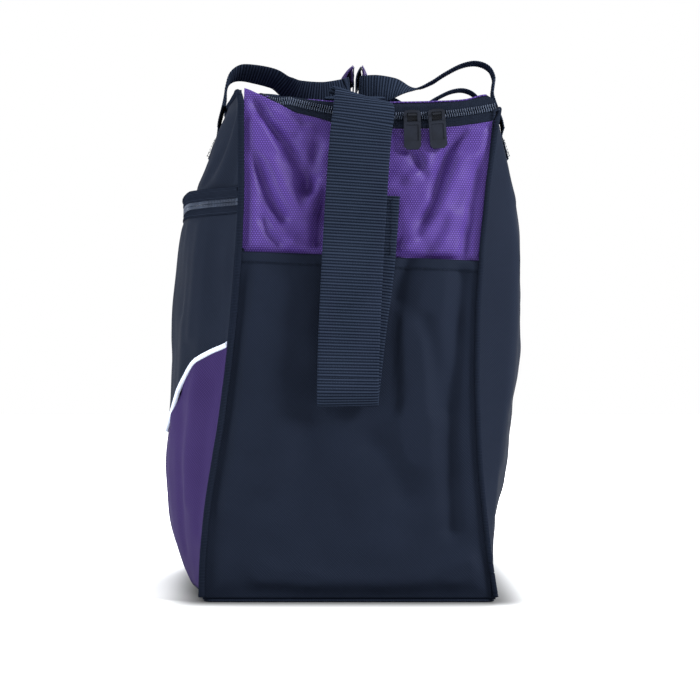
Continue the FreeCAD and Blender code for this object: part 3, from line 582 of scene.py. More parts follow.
def end_cloth(side, sign, part, slot, x, y, z, thick):
    panel(f"{side}_end_{part}_cloth", spread(sign * x, y, z), spread(y, z), "bag", slot,
          [f"{side}_end_{part}_panel"], thick, cut=spread(sign * END_CUT, y, z))


def make_lower_panel(side, sign, seed, sway):
    """Lower end panel, with the hem turned over at its top."""
    spans = ((2.3, 287), (2.3, 279))
    front, back, share, z_low, z_high = end_grid(f"{side}_end_lower_panel", sign, 96, spans)
    # the hem's share of the panel's height gets closer rows
    hem = 11.0 / float(np.mean(z_high - z_low))
    steps = np.concatenate([np.linspace(0, 1 - hem, 110), np.linspace(1 - hem, 1, 17)[1:]])
    y, z = fill_grid(front, back, share, z_low, z_high, steps)
    free = pinned(y, z, front, back, z_low[None, :], z_high[None, :] + 30, 16)
    bulge = folds(y + sway, z, LOWER_FOLDS) * 2.3 + ripple(y, z, 70, seed) * 1.5
    bulge += ripple(y, z, 26, seed + 1) * 0.6
    bulge = bulge * free + 1.2 * free - 1.2
    strap = under_strap(y, z, 340)
    bulge = bulge * (1 - strap) + np.minimum(bulge, -0.8) * strap
    from_top = z_high[None, :] - z
    seam = from_top - 8.4
    turn_over = 0.9 * np.clip((8.6 - from_top) / 0.7, 0, 1) - 0.7 * np.exp(-(seam / 0.8) ** 2)
    turn_over -= 1.1 * np.clip(1 - from_top / 0.9, 0, 1)
    pucker = 0.28 * np.cos(y * 2 * math.pi / 7.2) * np.exp(-(seam / 3.0) ** 2)
    x = np.minimum(END_FACE - 0.9 + bulge + turn_over + pucker, END_FACE + 3.0)
    x = np.where(strap > 0.5, np.minimum(x, END_FACE - 0.9), x)
    end_cloth(side, sign, "lower", "black_polyester", x, y, z, 0.9)
    line = spread(sign * (x[-12] + 0.5), y[-12], z_high - 8.3)[1:-1]
    stitches(f"{side}_hem_stitches", line, (sign, 0, 0), "bag")


def make_mesh_panel(side, sign, seed, sway):
    """Mesh above the lower panel; its top edge rises towards the bag's front corner."""
    spans = ((289, 416), (282, 397))
    front, back, share, z_low, z_high = end_grid(f"{side}_end_mesh_panel", sign, 118, spans)
    top_y = front(z_high) + (back(z_high) - front(z_high)) * share
    z_high = z_high + np.interp(top_y, [-92, -80, -68, -57, -44, -27, -10], [5.5, 8, 9, 7, 3, 2.6, 0])
    z_low = z_low - 2.5
    y, z = fill_grid(front, back, share, z_low, z_high, np.linspace(0, 1, 84))
    free = pinned(y, z, front, back, z_low[None, :], z_high[None, :], 12)
    bulge = folds(y + sway, z, MESH_FOLDS) * 1.5 + ripple(y, z, 34, seed + 2) * 1.4
    bulge += ripple(y, z, 15, seed + 3) * 0.5
    bulge = bulge * free + 2.6 * free - 2.6
    strap = under_strap(y, z, 342)
    bulge = bulge * (1 - strap) + np.minimum(bulge, -1.4) * strap
    bulge -= 2.2 * np.exp(-((z - z_low[None, :] - 3.5) / 3.0) ** 2)
    # the pull tabs hang over the top of the mesh, so it stays flatter there
    cap = 6.5 - 5.5 * np.clip((z - 362) / 8, 0, 1)
    x = END_FACE + np.where(bulge > 0, cap * np.tanh(bulge / cap), bulge)
    x = np.where(strap > 0.3, np.minimum(x, END_FACE - 0.8), x)
    end_cloth(side, sign, "mesh", "purple_mesh", soften(x, 1), y, z, 0.7)


def make_end_panels():
    for side, sign, seed, sway in (("right", 1, 3, 0), ("left", -1, 17, 9)):
        make_lower_panel(side, sign, seed, sway)
        make_mesh_panel(side, sign, seed, sway)


# ---------------------------------------------------------------- front and back walls, shoe pocket

def reference_columns(nodes, face, z, half, count):
    """Places along the bag that are evenly spaced on the wall's surface at height z."""
    fine = np.linspace(-half, half, 241)
    depth = wall_depth(nodes, face, fine, np.full_like(fine, z))
    run = along(spread(fine, depth))
    return np.interp(np.linspace(0, run[-1], count), run, fine)


def wall_depth(nodes, face, x, z):
    """Y of a wall's outer face at each (x, z)."""
    out = np.full(len(x), np.nan)
    for i, (a, b) in enumerate(zip(x, z)):
        spot = hit(nodes, (a, face * 260, b), (0, -face, 0))
        if spot is not None:
            out[i] = spot[1]
    known = ~np.isnan(out)
    return np.interp(np.arange(len(x)), np.flatnonzero(known), out[known])


def to_rim(points, uv, bow, seam, top, corner):
    """Adds rows that carry a wall's cloth up to the middle of the rim piping."""
    edge = points[-1]
    share = np.clip(np.abs(edge[:, 0]) / END_FACE, 0, 1)
    y = np.sign(edge[0, 1]) * (bow - (bow - seam) * share**2)
    z = top + corner * np.exp(-((1 - share) * END_FACE / 18) ** 2)
    rim = spread(edge[:, 0], y, z)
    rows = [edge + (rim - edge) * r for r in (0.33, 0.67, 1.0)]
    heights = [uv[-1] + (0, 1) * (z - edge[:, 2])[:, None] * r for r in (0.33, 0.67, 1.0)]
    return np.concatenate([points, rows]), np.concatenate([uv, heights])


def wall_grid(nodes, face, columns, low, high, rows, thick, smooth):
    """Grid on a wall's outer face, half the cloth's thickness inside it."""
    x = np.broadcast_to(columns[None, :], (rows, len(columns)))
    share = np.linspace(0, 1, rows)[:, None]
    low, high = np.broadcast_to(low, columns.shape), np.broadcast_to(high, columns.shape)
    z = low[None, :] + (high - low)[None, :] * share
    y = np.array([wall_depth(nodes, face, x[i], z[i]) for i in range(rows)])
    points = spread(x, soften(y, smooth) - face * thick / 2, z)
    return points, spread(along(points[rows // 2])[None, :], z)


def fade(points, low, high, half, reach):
    """0 at a wall's sewn edges, 1 further in than reach."""
    x, z = points[..., 0], points[..., 2]
    return ease(np.minimum(np.minimum(half - np.abs(x), z - low), high - z) / reach)


def wrinkles(points, rows, free, *ripples):
    """Height of a wall's folds and ripples. A ripple is (size, seed, height, stretch of x, stretch of z)."""
    x, z = points[..., 0], points[..., 2]
    out = folds(x, z, rows)
    for size, seed, height, a, b in ripples:
        out = out + ripple(x * a, z * b, size, seed) * height
    return out * free


def pushed(points, outward, heights):
    """A wall's grid moved along its normals."""
    return points + normals(points, outward) * heights[..., None]


POCKET = ["pocket_centre_panel", "pocket_accent_panel"]
# The bag, the pocket's front, and two points; the pocket's side seams lean back towards the top.
POCKET_BLEND = ("bag", "pocket_front", (0, -124.4, 8.6), (0, -150.3, 11.2))
V_LINE = [(0, 134), (30, 135.6), (60, 141.5), (84, 151), (104, 165), (120, 181), (134, 195), (150, 205),
          (167, 212.5)]


def v_height(x):
    line = smooth_line(V_LINE, 2.0)
    return np.interp(np.abs(x), line[:, 0], line[:, 1])


def make_front_wall():
    """Wall behind the pocket, which its folds push inwards."""
    low, high = box_mm("front_wall")
    columns = reference_columns(["front_wall"], FRONT, 300, high[0] + 0.4, 90)
    points, uv = wall_grid(["front_wall"], FRONT, columns, low[2] + 0.4, high[2] - 0.4, 80, 2.0, 4)
    bumps = wrinkles(points, [], fade(points, low[2], high[2], high[0], 30), (60, 31, 1.0, 1, 1))
    panel("front_wall_cloth", pushed(points, (0, 1, 0), np.maximum(bumps, -0.6)), uv, "bag",
          "black_polyester", ["front_wall"], thick=2.0, cut=points)


def make_back():
    low, high = box_mm("back_panel")
    columns = reference_columns(["back_panel"], BACK, 235, high[0] + TUCK, 150)
    points, uv = wall_grid(["back_panel"], BACK, columns, low[2] + 0.4, high[2] - 0.4, 150, 1.6, 10)
    rows = [([(-130, 380), (-60, 350), (0, 344), (60, 350), (130, 382)], 18, -2.2),
            ([(-140, 60), (-60, 84), (30, 92), (120, 70)], 20, -2.0),
            ([(90, 392), (84, 330), (70, 260)], 12, -2.4), ([(-90, 392), (-80, 320), (-72, 262)], 12, -2.4),
            ([(30, 300), (0, 220), (-20, 130)], 40, 2.0), ([(142, 330), (146, 240), (144, 120)], 9, 1.8),
            ([(-142, 330), (-146, 240), (-144, 120)], 9, 1.8)]
    bumps = wrinkles(points, rows, fade(points, low[2], high[2], high[0], 26),
                     (80, 41, 1.8, 1, 1), (30, 42, 0.6, 1, 1))
    cloth, uv = to_rim(pushed(points, (0, 1, 0), bumps), uv, 129, 123, 406.2, 0)
    panel("back_cloth", cloth, uv, "bag", "black_polyester", ["back_panel"], thick=1.6)


def make_upper_front():
    """Slanting panel above the pocket's zipper, with the emblem on it."""
    node = "pocket_upper_panel"
    low, high = box_mm(node)
    columns = reference_columns([node], FRONT, 372, high[0] + TUCK, 140)
    points, uv = wall_grid([node], FRONT, columns, low[2] + 0.3, high[2] - 0.3, 48, 1.6, 5)
    rows = both_sides([([(158, 404), (146, 380), (136, 352)], 7, 2.6),
                       ([(150, 404), (132, 376), (116, 350)], 7, -2.6),
                       ([(162, 380), (154, 362), (150, 346)], 6, -2.2),
                       ([(124, 402), (104, 384), (92, 352)], 9, 2.0),
                       ([(66, 404), (50, 380), (40, 350)], 12, -2.0)])
    bumps = wrinkles(points, rows, fade(points, low[2] - 6, high[2] + 6, high[0], 12), (40, 51, 0.9, 1, 1))
    upper = pushed(points, (0, -1, 0), bumps)
    cloth, uv = to_rim(upper, uv, 111, 89.5, 417, 4.0)
    panel("upper_front_cloth", cloth, uv, "bag", "black_polyester", [node], thick=1.6)
    make_emblem(upper, normals(points, (0, -1, 0)))


def make_emblem(points, out):
    """Plain embroidered ball with three finger holes, on the middle of the upper front."""
    columns = points[points.shape[0] // 2, :, 0]
    radius, centre = 15.0, 386.0

    def spot(a, b, lift):
        row = np.interp(b, points[:, points.shape[1] // 2, 2], np.arange(points.shape[0]))
        column = np.interp(a, columns, np.arange(len(columns)))
        i, j = int(round(row)), int(round(column))
        return np.array([a, points[i, j, 1] + out[i, j, 1] * lift, b])

    verts, uv = [spot(0, centre, 1.9)], [(0, centre)]
    rings, turns = (3.0, 6.5, 10.0, 13.0, 14.4, radius), 48
    for r in rings:
        lift = 1.9 if r < 14 else (1.5 if r < radius else 0.6)
        for k in range(turns):
            t = 2 * math.pi * k / turns
            a, b = r * math.cos(t), centre + r * math.sin(t)
            verts.append(spot(a, b, lift))
            uv.append((a, b))
    faces = [(0, 1 + k, 1 + (k + 1) % turns) for k in range(turns)]
    for r in range(len(rings) - 1):
        start = 1 + r * turns
        faces += [(start + k, start + turns + k, start + turns + (k + 1) % turns, start + (k + 1) % turns)
                  for k in range(turns)]
    place(mesh_object("emblem_patch", verts, faces, uv), "bag", "emblem")
    for i, (a, b) in enumerate(((-3.4, 4.6), (3.4, 4.6), (0.0, -1.2))):
        ring = [spot(a + 2.0 * math.cos(t), centre + b + 2.0 * math.sin(t), 2.2)
                for t in np.linspace(0, 2 * math.pi, 17)]
        tube(f"emblem_hole_{i}", ring, 0.6, "bag", "thread")


def make_pocket():
    low, high = box_mm("pocket_centre_panel")
    floor_low = box_mm("pocket_accent_panel")[0][2]
    half = high[0] + TUCK
    columns = reference_columns(POCKET, FRONT, 250, half, 170)
    seam = v_height(columns)
    outward = (0, -1, 0)

    points, uv = wall_grid(POCKET, FRONT, columns, seam, high[2] - 0.3, 84, 1.6, 9)
    rows = both_sides([([(128, 312), (127, 270), (126, 220)], 6, 1.6),
                       ([(146, 300), (148, 270), (150, 240)], 8, -1.8),
                       ([(112, 316), (108, 280), (104, 240)], 8, -1.6),
                       ([(70, 316), (60, 270), (56, 220)], 16, 1.6)])
    bumps = wrinkles(points, rows, fade(points, low[2] - 40, high[2] + 6, half, 14), (60, 61, 1.0, 1.6, 0.8))
    panel("pocket_centre_cloth", pushed(points, outward, bumps), uv, POCKET_BLEND, "black_polyester",
          ["pocket_centre_panel"], thick=1.6, cut=points)

    points, uv = wall_grid(POCKET, FRONT, columns, floor_low + 0.3, seam, 84, 1.6, 9)
    rows = both_sides([([(140, 190), (132, 150), (130, 80)], 7, 1.8),
                       ([(152, 176), (150, 120), (152, 60)], 7, -2.0),
                       ([(112, 170), (116, 110), (120, 40)], 8, -1.8),
                       ([(90, 150), (84, 100), (92, 44)], 12, 1.8)])
    bumps = wrinkles(points, rows, fade(points, floor_low, 400, half, 12), (56, 71, 1.1, 1.5, 0.8))
    panel("pocket_accent_cloth", pushed(points, outward, bumps), uv, POCKET_BLEND, "purple_polyester",
          ["pocket_accent_panel"], thick=1.6, cut=points)

    fine = reference_columns(POCKET, FRONT, 200, half - 0.6, 330)
    line = v_height(fine)
    depth = soften_line(wall_depth(POCKET, FRONT, fine, line), 40)
    tube("pocket_white_piping", spread(fine, depth - 1.2, line), 2.1, POCKET_BLEND, "piping_white",
         ["pocket_accent_piping"])

    low, high = box_mm("pocket_floor_panel")
    rim = reference_columns(POCKET, FRONT, 12, high[0] - 1.0, 90)
    front_edge = wall_depth(POCKET, FRONT, rim, np.full_like(rim, 11.0)) + 2.2
    y = -124.0 + (front_edge[None, :] + 124.0) * np.linspace(0, 1, 14)[:, None]
    x = np.broadcast_to(rim[None, :], y.shape)
    grid = spread(x, y, (low[2] + high[2]) / 2 + ripple(x, y, 40, 81) * 0.4)
    panel("pocket_floor_cloth", grid, grid[..., :2], "pocket_front", "black_polyester",
          ["pocket_floor_panel"], thick=1.6)
    make_pocket_zipper(fine)


def strip_line(node, x):
    """Depth of a strip of the pocket's zipper at each x, and the strip's lowest and highest z."""
    low, high = box_mm(node)
    depth = wall_depth([node], FRONT, x, np.full_like(x, (low[2] + high[2]) / 2))
    return soften_line(depth, 30), low[2], high[2]


def make_pocket_zipper(x):
    """Two tapes with rolled edges and two rows of teeth round the pocket's top."""
    for part, body in (("lower", POCKET_BLEND), ("upper", "bag")):
        node = f"pocket_zip_{part}_tape"
        depth, low, high = strip_line(node, x)
        z = low + (high - low) * np.linspace(0, 1, 15)[:, None]
        if part == "lower":
            roll, seam = 1.0 * np.exp(-((z - low - 1.6) / 1.5) ** 2), low + 5.2
        else:
            roll = 1.5 * np.exp(-((z - high + 2.6) / 2.0) ** 2) + 0.8 * np.exp(-((z - high + 7.6) / 1.2) ** 2)
            seam = low + 2.2
        sink = 0.9 * np.clip(1 - np.minimum(z - low, high - z) / 0.9, 0, 1)
        y = depth[None, :] - roll + sink + 0.6
        z = z + 0.35 * ripple(np.broadcast_to(x[None, :], y.shape), y * 0, 46, 91)
        uv = spread(along(spread(x, depth))[None, :], z)
        panel(f"pocket_zip_{part}_cloth", spread(x[None, :], y, z), uv, body, "zipper_tape", [node],
              thick=1.1)
        stitches(f"pocket_zip_{part}_stitches", spread(x, depth - 0.2, seam)[2:-2], (0, -1, 0), body)

        node = f"pocket_zip_{part}_coil"
        depth, low, high = strip_line(node, x)
        line = spread(x, depth + 1.2, (low + high) / 2)[1:-1]
        tube(f"pocket_zip_{part}_cord", line + (0, 0.4, 0), 0.8, body, "zipper_tape")
        line = smooth_line(line, TEETH_PITCH)
        out = np.gradient(line, axis=0)
        out = unit(spread(out[:, 1], -out[:, 0], out[:, 2] * 0))
        beads(f"pocket_zip_{part}_teeth", line, out, (1.15, 3.0, 2.0), body, "zipper_coil", [node])


# ---------------------------------------------------------------- piping

def side_spine(node, sign, z_places):
    """Middle line of a piping that runs up the end of the bag."""
    rows = []
    for z in z_places:
        front = hit([node], (sign * END_FACE, -260, z), (0, 1, 0))
        if front is not None:
            far = hit([node], (sign * END_FACE, front[1] + 30, z), (0, -1, 0))
            rows.append((sign * END_FACE, (front[1] + far[1]) / 2, z))
    return rows


def corner_lift(y, z, corner_y, corner_z):
    """How far the stiff seam corner stands above its neighbours."""
    return 4.6 * np.exp(-((y - corner_y) / 15) ** 2 - ((z - corner_z) / 20) ** 2)


def make_piping():
    for name, nodes, radius in (("front", ["front_piping"] * 3, 2.7),
                                ("back", ["right_back_piping", "left_back_piping", "back_rim_piping"], 2.0)):
        low, high = box_mm(nodes[0])
        heights = np.linspace(low[2] + 1.0, high[2] - 12, 46)
        right, left = side_spine(nodes[0], 1, heights), side_spine(nodes[1], -1, heights)
        top = box_mm(nodes[2])[1][2] - radius
        across = [(x, hit([nodes[2]], (x, -260, top), (0, 1, 0))[1] + radius, top)
                  for x in np.linspace(154, -154, 40)]
        line = smooth_line([*right, *across, *left[::-1]], 1.3)
        if name == "front":
            line[:, 2] += corner_lift(line[:, 1], line[:, 2], right[-1][1], top) * np.clip(
                (np.abs(line[:, 0]) - 120) / 40, 0, 1)
        line[:, 1] += 0.35 * ripple(line[:, 0] + line[:, 2], line[:, 1], 40, 7)
        tube(f"{name}_piping_cord", line, radius, "bag", "piping_black", sorted(set(nodes)), sides=12,
             ripples=0.03)


# ---------------------------------------------------------------- main zipper and lid

# From the bag's coil to the lid's
COIL_STEP = 3.0
# Where the coil's side stretches end and its front corners start
SIDE_END = -50
# How far the lid's front edge bows back, from its middle to its ends
LID_BOW = 21.0


def coil_lines():
    """The body-side coil all the way round, with its outward and lid-ward directions at each point."""
    ends = {}
    for side, sign in SIDES:
        node = f"{side}_rim_zip_coil"
        low, high = box_mm(node)
        x = sign * (abs(low[0] + high[0]) / 2)
        top, bottom = edge_table(node, x, 2, BACK), edge_table(node, x, 2, FRONT)
        y = np.linspace(high[1] - 1, SIDE_END, 60)
        curve = np.polyfit(y, (top(y) + bottom(y)) / 2, 4)
        y = np.linspace(high[1] + 6, SIDE_END, 64)
        ends[side] = spread(x, y, np.polyval(curve, y))
    node = "front_rim_zip_coil"
    low, high = box_mm(node)
    z = (low[2] + high[2]) / 2
    front = [(x, hit([node], (x, -260, z), (0, 1, 0))[1] + 1.2, z) for x in np.linspace(138, -138, 44)]
    right_corner = [(163.6, -62, 410.4), (159.0, -72.5, 414.6), (150.5, -78.6, 416.2)]
    left_corner = [(-x, y, z) for x, y, z in right_corner[::-1]]
    line = smooth_line([*ends["right"], *right_corner, *front, *left_corner, *ends["left"][::-1]],
                       TEETH_PITCH)
    # 1 where the coil faces the bag's end, 0 where it faces the front
    turn = np.where(line[:, 1] > SIDE_END, 1.0, ease((np.abs(line[:, 0]) - 142) / 20))[:, None]
    out = np.hstack([np.sign(line[:, :1]) * turn, 0 * turn, 1 - turn])
    return line, unit(out), unit(np.hstack([0 * turn, 1 - turn, turn]))


def make_main_zipper():
    line, out, inward = coil_lines()
    lid_line = line + inward * COIL_STEP
    # the lid's teeth sit between the bag's
    shifted = lid_line + np.gradient(lid_line, axis=0) / 2
    size = (1.2, 3.2, 2.2)
    beads("rim_zip_teeth", line, out, size, "bag", "zipper_coil",
          ["right_rim_zip_coil", "left_rim_zip_coil", "front_rim_zip_coil"])
    beads("lid_zip_teeth", shifted, out, size, "lid", "zipper_coil",
          ["right_lid_zip_coil", "left_lid_zip_coil"])
    tube("rim_zip_cord", line - inward * 0.9 - out * 0.3, 0.75, "bag", "zipper_tape")
    tube("lid_zip_cord", lid_line + inward * 0.9 - out * 0.3, 0.75, "lid", "zipper_tape")
    # the tape, from the coil down, with its rolled edge
    reach = 5.2 + 5.0 * np.abs(out[:, :1])
    spans = np.array([0.4, 1.2, 2.4, 2.9, 3.4, 5.0, 6.4, 7.0, 7.6, 9.0]) / 9.0
    lifts = [-0.9, -0.7, 0.0, 0.35, 0.0, 0.1, 0.2, 0.5, 0.1, -0.5]
    grid = np.array([line - inward * (s * reach + 0.6) + out * (b - 0.1) for s, b in zip(spans, lifts)])
    panel("rim_zip_cloth", grid, spread(spans[:, None] * 9, along(line)[None, :]), "bag", "zipper_tape",
          ["right_rim_zip_tape", "left_rim_zip_tape", "front_rim_zip_tape"], thick=0.9)
    make_lid(lid_line, out, inward)


def lid_height(y):
    """Top face of the lid's plate, along its middle."""
    spot = hit(["lid_panel"], (0, y, 520), (0, 0, -1))
    return np.nan if spot is None else spot[2]


def make_lid(lid_line, out, inward):
    """The lid's cloth, dented under the strap that crosses it."""
    low, high = box_mm("lid_panel")
    columns = np.linspace(low[0] + 0.4, high[0] + TUCK, 150)
    front_edge = low[1] + 0.6 + LID_BOW * (columns / 165.0) ** 2
    y = front_edge[None, :] + (high[1] - 0.4 - front_edge[None, :]) * np.linspace(0, 1, 96)[:, None]
    x = np.broadcast_to(columns[None, :], y.shape)
    places = np.linspace(low[1] + 1, high[1] - 1, 60)
    flat = spread(x, y, np.interp(y, places, [lid_height(v) for v in places]) - 0.6)
    edge = np.minimum(np.minimum(high[0] - np.abs(x), y - front_edge[None, :]), high[1] - y)
    free = np.clip(edge / 14, 0, 1)
    strap = np.clip((34 - np.abs(y - 4)) / 10, 0, 1)
    bumps = (ripple(x, y, 60, 101) * 1.6 + ripple(x, y, 24, 102) * 0.6 - 1.2) * free
    bumps = bumps * (1 - strap) + np.minimum(bumps, -0.4) * strap
    bumps += folds(x, y, both_sides([([(150, 108), (120, 80), (80, 60)], 9, 1.8),
                                     ([(150, 92), (126, 66), (96, 52)], 8, -2.2),
                                     ([(146, -62), (120, -44), (90, -36)], 8, 1.2)])) * free
    # the stiff back corners
    bumps += 3.4 * np.exp(-((np.abs(x) - 158) / 16) ** 2 - ((y - 111) / 11) ** 2)
    seam = 0.5 * np.exp(-((edge - 5.5) / 0.9) ** 2)
    cloth = flat + (0, 0, 1) * (bumps - seam)[..., None]
    panel("lid_cloth", cloth, flat[..., :2], "lid", "purple_mesh", ["lid_panel"], thick=1.2, cut=flat)

    make_lid_tape(lid_line, out, inward, low, high, columns, y, cloth)
    stitches("lid_front_stitches", cloth[6, 8:-8] + (0, 0, 0.5), (0, 0, 1), "lid")
    for side, column in (("right", -4), ("left", 3)):
        stitches(f"lid_end_stitches_{side}", cloth[8:-6, column] + (0, 0, 0.5), (0, 0, 1), "lid")
    make_lid_hinge(cloth[-2, 2:-2])


def make_lid_tape(lid_line, out, inward, low, high, columns, y, cloth):
    """Tape from the coil to the nearest place on the lid's edge, with a ridge along its middle."""
    target = []
    for spot in lid_line:
        edge_x = np.clip(spot[0], low[0] + 0.5, high[0] - 0.5)
        edge_y = np.clip(spot[1], low[1] + 1.2 + LID_BOW * (edge_x / 165.0) ** 2, high[1] - 0.5)
        column = np.argmin(np.abs(columns - edge_x))
        target.append(cloth[np.argmin(np.abs(y[:, column] - edge_y)), column])
    target = soften_line(np.array(target), 20)
    start = lid_line + inward * 1.2 - out * 0.5
    rows = np.linspace(0, 1, 9)
    bulge = 1.1 * np.sin(rows * math.pi) + 0.5 * np.exp(-((rows - 0.5) / 0.09) ** 2)
    grid = np.array([start * (1 - r) + target * r + out * b * 0.8 + np.array([0, 0, 1]) * b * 0.6
                     for r, b in zip(rows, bulge)])
    panel("lid_zip_cloth", grid, spread(rows[:, None] * 9, along(lid_line)[None, :]), "lid", "zipper_tape",
          ["right_lid_zip_tape", "left_lid_zip_tape"], thick=1.0)


def make_lid_hinge(start):
    """Cloth that joins the lid's back edge to the back rim."""
    rows = np.linspace(0, 1, 9)
    end = spread(start[:, 0] * 1.03, 127.6 - 6.0 * (start[:, 0] / 166.0) ** 2, 405.6)
    grid = np.array([start * (1 - r) + end * r + np.array([0, 0.7, 1]) * 2.2 * math.sin(r * math.pi)
                     for r in rows])
    panel("lid_hinge_cloth", grid, spread(start[None, :, 0], rows[:, None] * 16),
          ("bag", "lid", (0, 126, 405), (0, 113, 414)), "black_polyester", thick=1.0)


# ---------------------------------------------------------------- shoulder strap, handles and grip

def box_stitch(name, corners, out):
    """Sewn box with a cross in it."""
    a, b, c, d = (np.array(p, float) for p in corners)
    for i, (p, q) in enumerate(((a, b), (b, c), (c, d), (d, a), (a, c), (b, d))):
        stitches(f"{name}_{i}", [p, (p + q) / 2, q], out, "bag", pitch=3.0)


STRAP_SIZE = (50.0, 2.2)
FLAT = (0, 1, 0)
# The right side's hanging loop, as (x, y, z, width direction): from its anchor down, round the fold at its
# foot, and up over the end of the lid
STRAP_INNER = [(169.5, 16, 334.6, FLAT), (169.9, 14, 305, FLAT), (170.3, 11, 270, FLAT),
               (171.6, 5, 225, FLAT), (171.9, 1, 190, FLAT), (173.0, -1, 171, FLAT),
               (178.8, -1.6, 161.9, FLAT), (185.0, -1.8, 171, FLAT), (186.2, -1.6, 184, FLAT)]
STRAP_OUTER = [(186.2, -1.6, 184, FLAT), (186.4, -0.8, 215, FLAT), (186.6, 1.6, 270, FLAT),
               (186.3, 5.0, 330, FLAT), (186.2, 8.6, 380, (0, 1, -0.06)),
               (185.2, 10.6, 396, (0, 0.97, -0.22)),
               (181.5, 11.6, 407.6, (0, 0.92, -0.38)), (176.0, 10.6, 413.6, (0.05, 0.92, -0.38)),
               (169.6, 7.6, 415.8, (0, 0.97, -0.24)), (163.4, 4, 414.9, FLAT)]
# How far the left side's loop hangs nearer the front, and how much of that each outer station takes
LEFT_SHIFT = 5
OUTER_SHARES = [1, 1, 1, 0.5, 0, 0, 0, 0, 0, 0]


def make_strap():
    for side, sign in SIDES:
        shift = 0 if sign > 0 else LEFT_SHIFT
        for leg, stations, shares, body, node in (
                ("inner", STRAP_INNER, [1] * len(STRAP_INNER), "bag", "anchor"),
                ("outer", STRAP_OUTER, OUTER_SHARES,
                 ("bag", "lid", (sign * 186, -1.6, 186), (sign * 172, 6, 416)), "drop")):
            hung = [(sign * x, y - shift * share, z, (sign * w[0], w[1], w[2]))
                    for (x, y, z, w), share in zip(stations, shares)]
            webbing(f"{side}_strap_{leg}_leg", hung, *STRAP_SIZE, body, [f"{side}_strap_{node}"])
        corners = [(sign * 171.3, y - shift, z) for y, z in ((35, 330), (-4, 330), (-8, 286), (33, 286))]
        box_stitch(f"{side}_anchor_stitch", corners, (sign, 0, 0))
    crossing = [(163.4, 4, 414.9), (150, 4, 414.4), (100, 5, 414.6), (50, 4, 414.8), (0, 3, 414.6),
                (-50, 4, 414.8), (-100, 3, 414.6), (-150, 4, 414.4), (-163.4, 4, 414.9)]
    webbing("strap_crossing_web", [(*spot, FLAT) for spot in crossing], *STRAP_SIZE, "lid",
            ["strap_crossing"])


HANDLE_SIZE = (25.0, 2.0)
HANDLE_RIB = 2.0
ACROSS = (1, 0, 0)
# Right half of each handle, from its patch over the rim and down to the middle of the grip
FRONT_HANDLE = [(86, -113.4, 399.0, ACROSS), (85.7, -112.6, 405, ACROSS), (85, -110.4, 414, ACROSS),
                (84.4, -108.2, 424, ACROSS), (84, -107.4, 434, (1, 0.1, 0.1)), (82, -104, 443, (1, 0.1, 0.3)),
                (79, -96, 448, (1, 0.15, 0.5)), (76, -83, 447.4, (0.9, 0.1, 0.55)),
                (72, -67, 444, (0.85, 0, 0.6)), (69, -56, 437.6, (0.75, 0, 0.7)),
                (66, -44, 432.6, (0.6, 0, 0.85)), (63, -24, 430.6, (0.3, 0, 1)), (58, -5, 434, (0, 0, 1)),
                (48, -0.5, 437, (0, 0, 1)), (0, -0.5, 438, (0, 0, 1))]
BACK_HANDLE = [(86, 132.8, 399.0, ACROSS), (86, 131.4, 406, ACROSS), (86, 127.0, 418, ACROSS),
               (86, 123.8, 428, ACROSS), (85.6, 124.4, 436, ACROSS), (85, 125.0, 443, ACROSS),
               (84, 121.8, 450.4, ACROSS), (82, 115, 455.2, ACROSS), (79.5, 106, 456.8, ACROSS),
               (77, 95, 454.4, ACROSS), (75, 82, 447.8, ACROSS), (73, 71, 441, ACROSS),
               (70, 60, 436.4, (1, 0, -0.1)), (68, 50, 436, (0.9, 0, -0.35)), (65, 38, 437, (0.5, 0, -0.8)),
               (61, 22, 437.6, (0.1, 0, -1)), (56, 10.4, 437.4, (0, 0, -1)), (46, 8.6, 437.4, (0, 0, -1)),
               (0, 8.6, 438, (0, 0, -1))]


def mirrored(stations):
    """A whole handle from its right half."""
    half = [(-x, y, z, (-w[0], w[1], w[2])) for x, y, z, w in reversed(stations[:-1])]
    return stations + half


def make_handles():
    for name, stations, face, wall in (("front", FRONT_HANDLE, FRONT, "pocket_upper_panel"),
                                       ("back", BACK_HANDLE, BACK, "back_panel")):
        handle = f"{name}_handle"
        webbing(f"{handle}_web", mirrored(stations), *HANDLE_SIZE, handle, [f"{handle}_loop"], HANDLE_RIB,
                cup=-0.6)
        for side in ("right", "left"):
            node = f"{handle}_patch_{side}"
            low, high = box_mm(node)
            middle = (low[0] + high[0]) / 2
            lower = []
            for z in (low[2], low[2] + 8, low[2] + 16, low[2] + 20):
                spot = hit([wall], (middle, face * 260, z), (0, -face, 0))
                lower.append((middle, spot[1] + face * 1.4, z, ACROSS))
            head = (middle, stations[0][1], stations[0][2] + 0.3, ACROSS)
            webbing(f"{name}_patch_web_{side}", [*lower, head], *HANDLE_SIZE,
                    ("bag", handle, lower[3][:3], head[:3]), [node], HANDLE_RIB)
            foot, top = lower[0], lower[2]
            corners = [(middle + reach, spot[1] + face * 1.15, spot[2] + rise) for reach, spot, rise in
                       ((-9.5, foot, 3), (9.5, foot, 3), (9.5, top, 0), (-9.5, top, 0))]
            box_stitch(f"{name}_patch_stitch_{side}", corners, (0, face, 0))


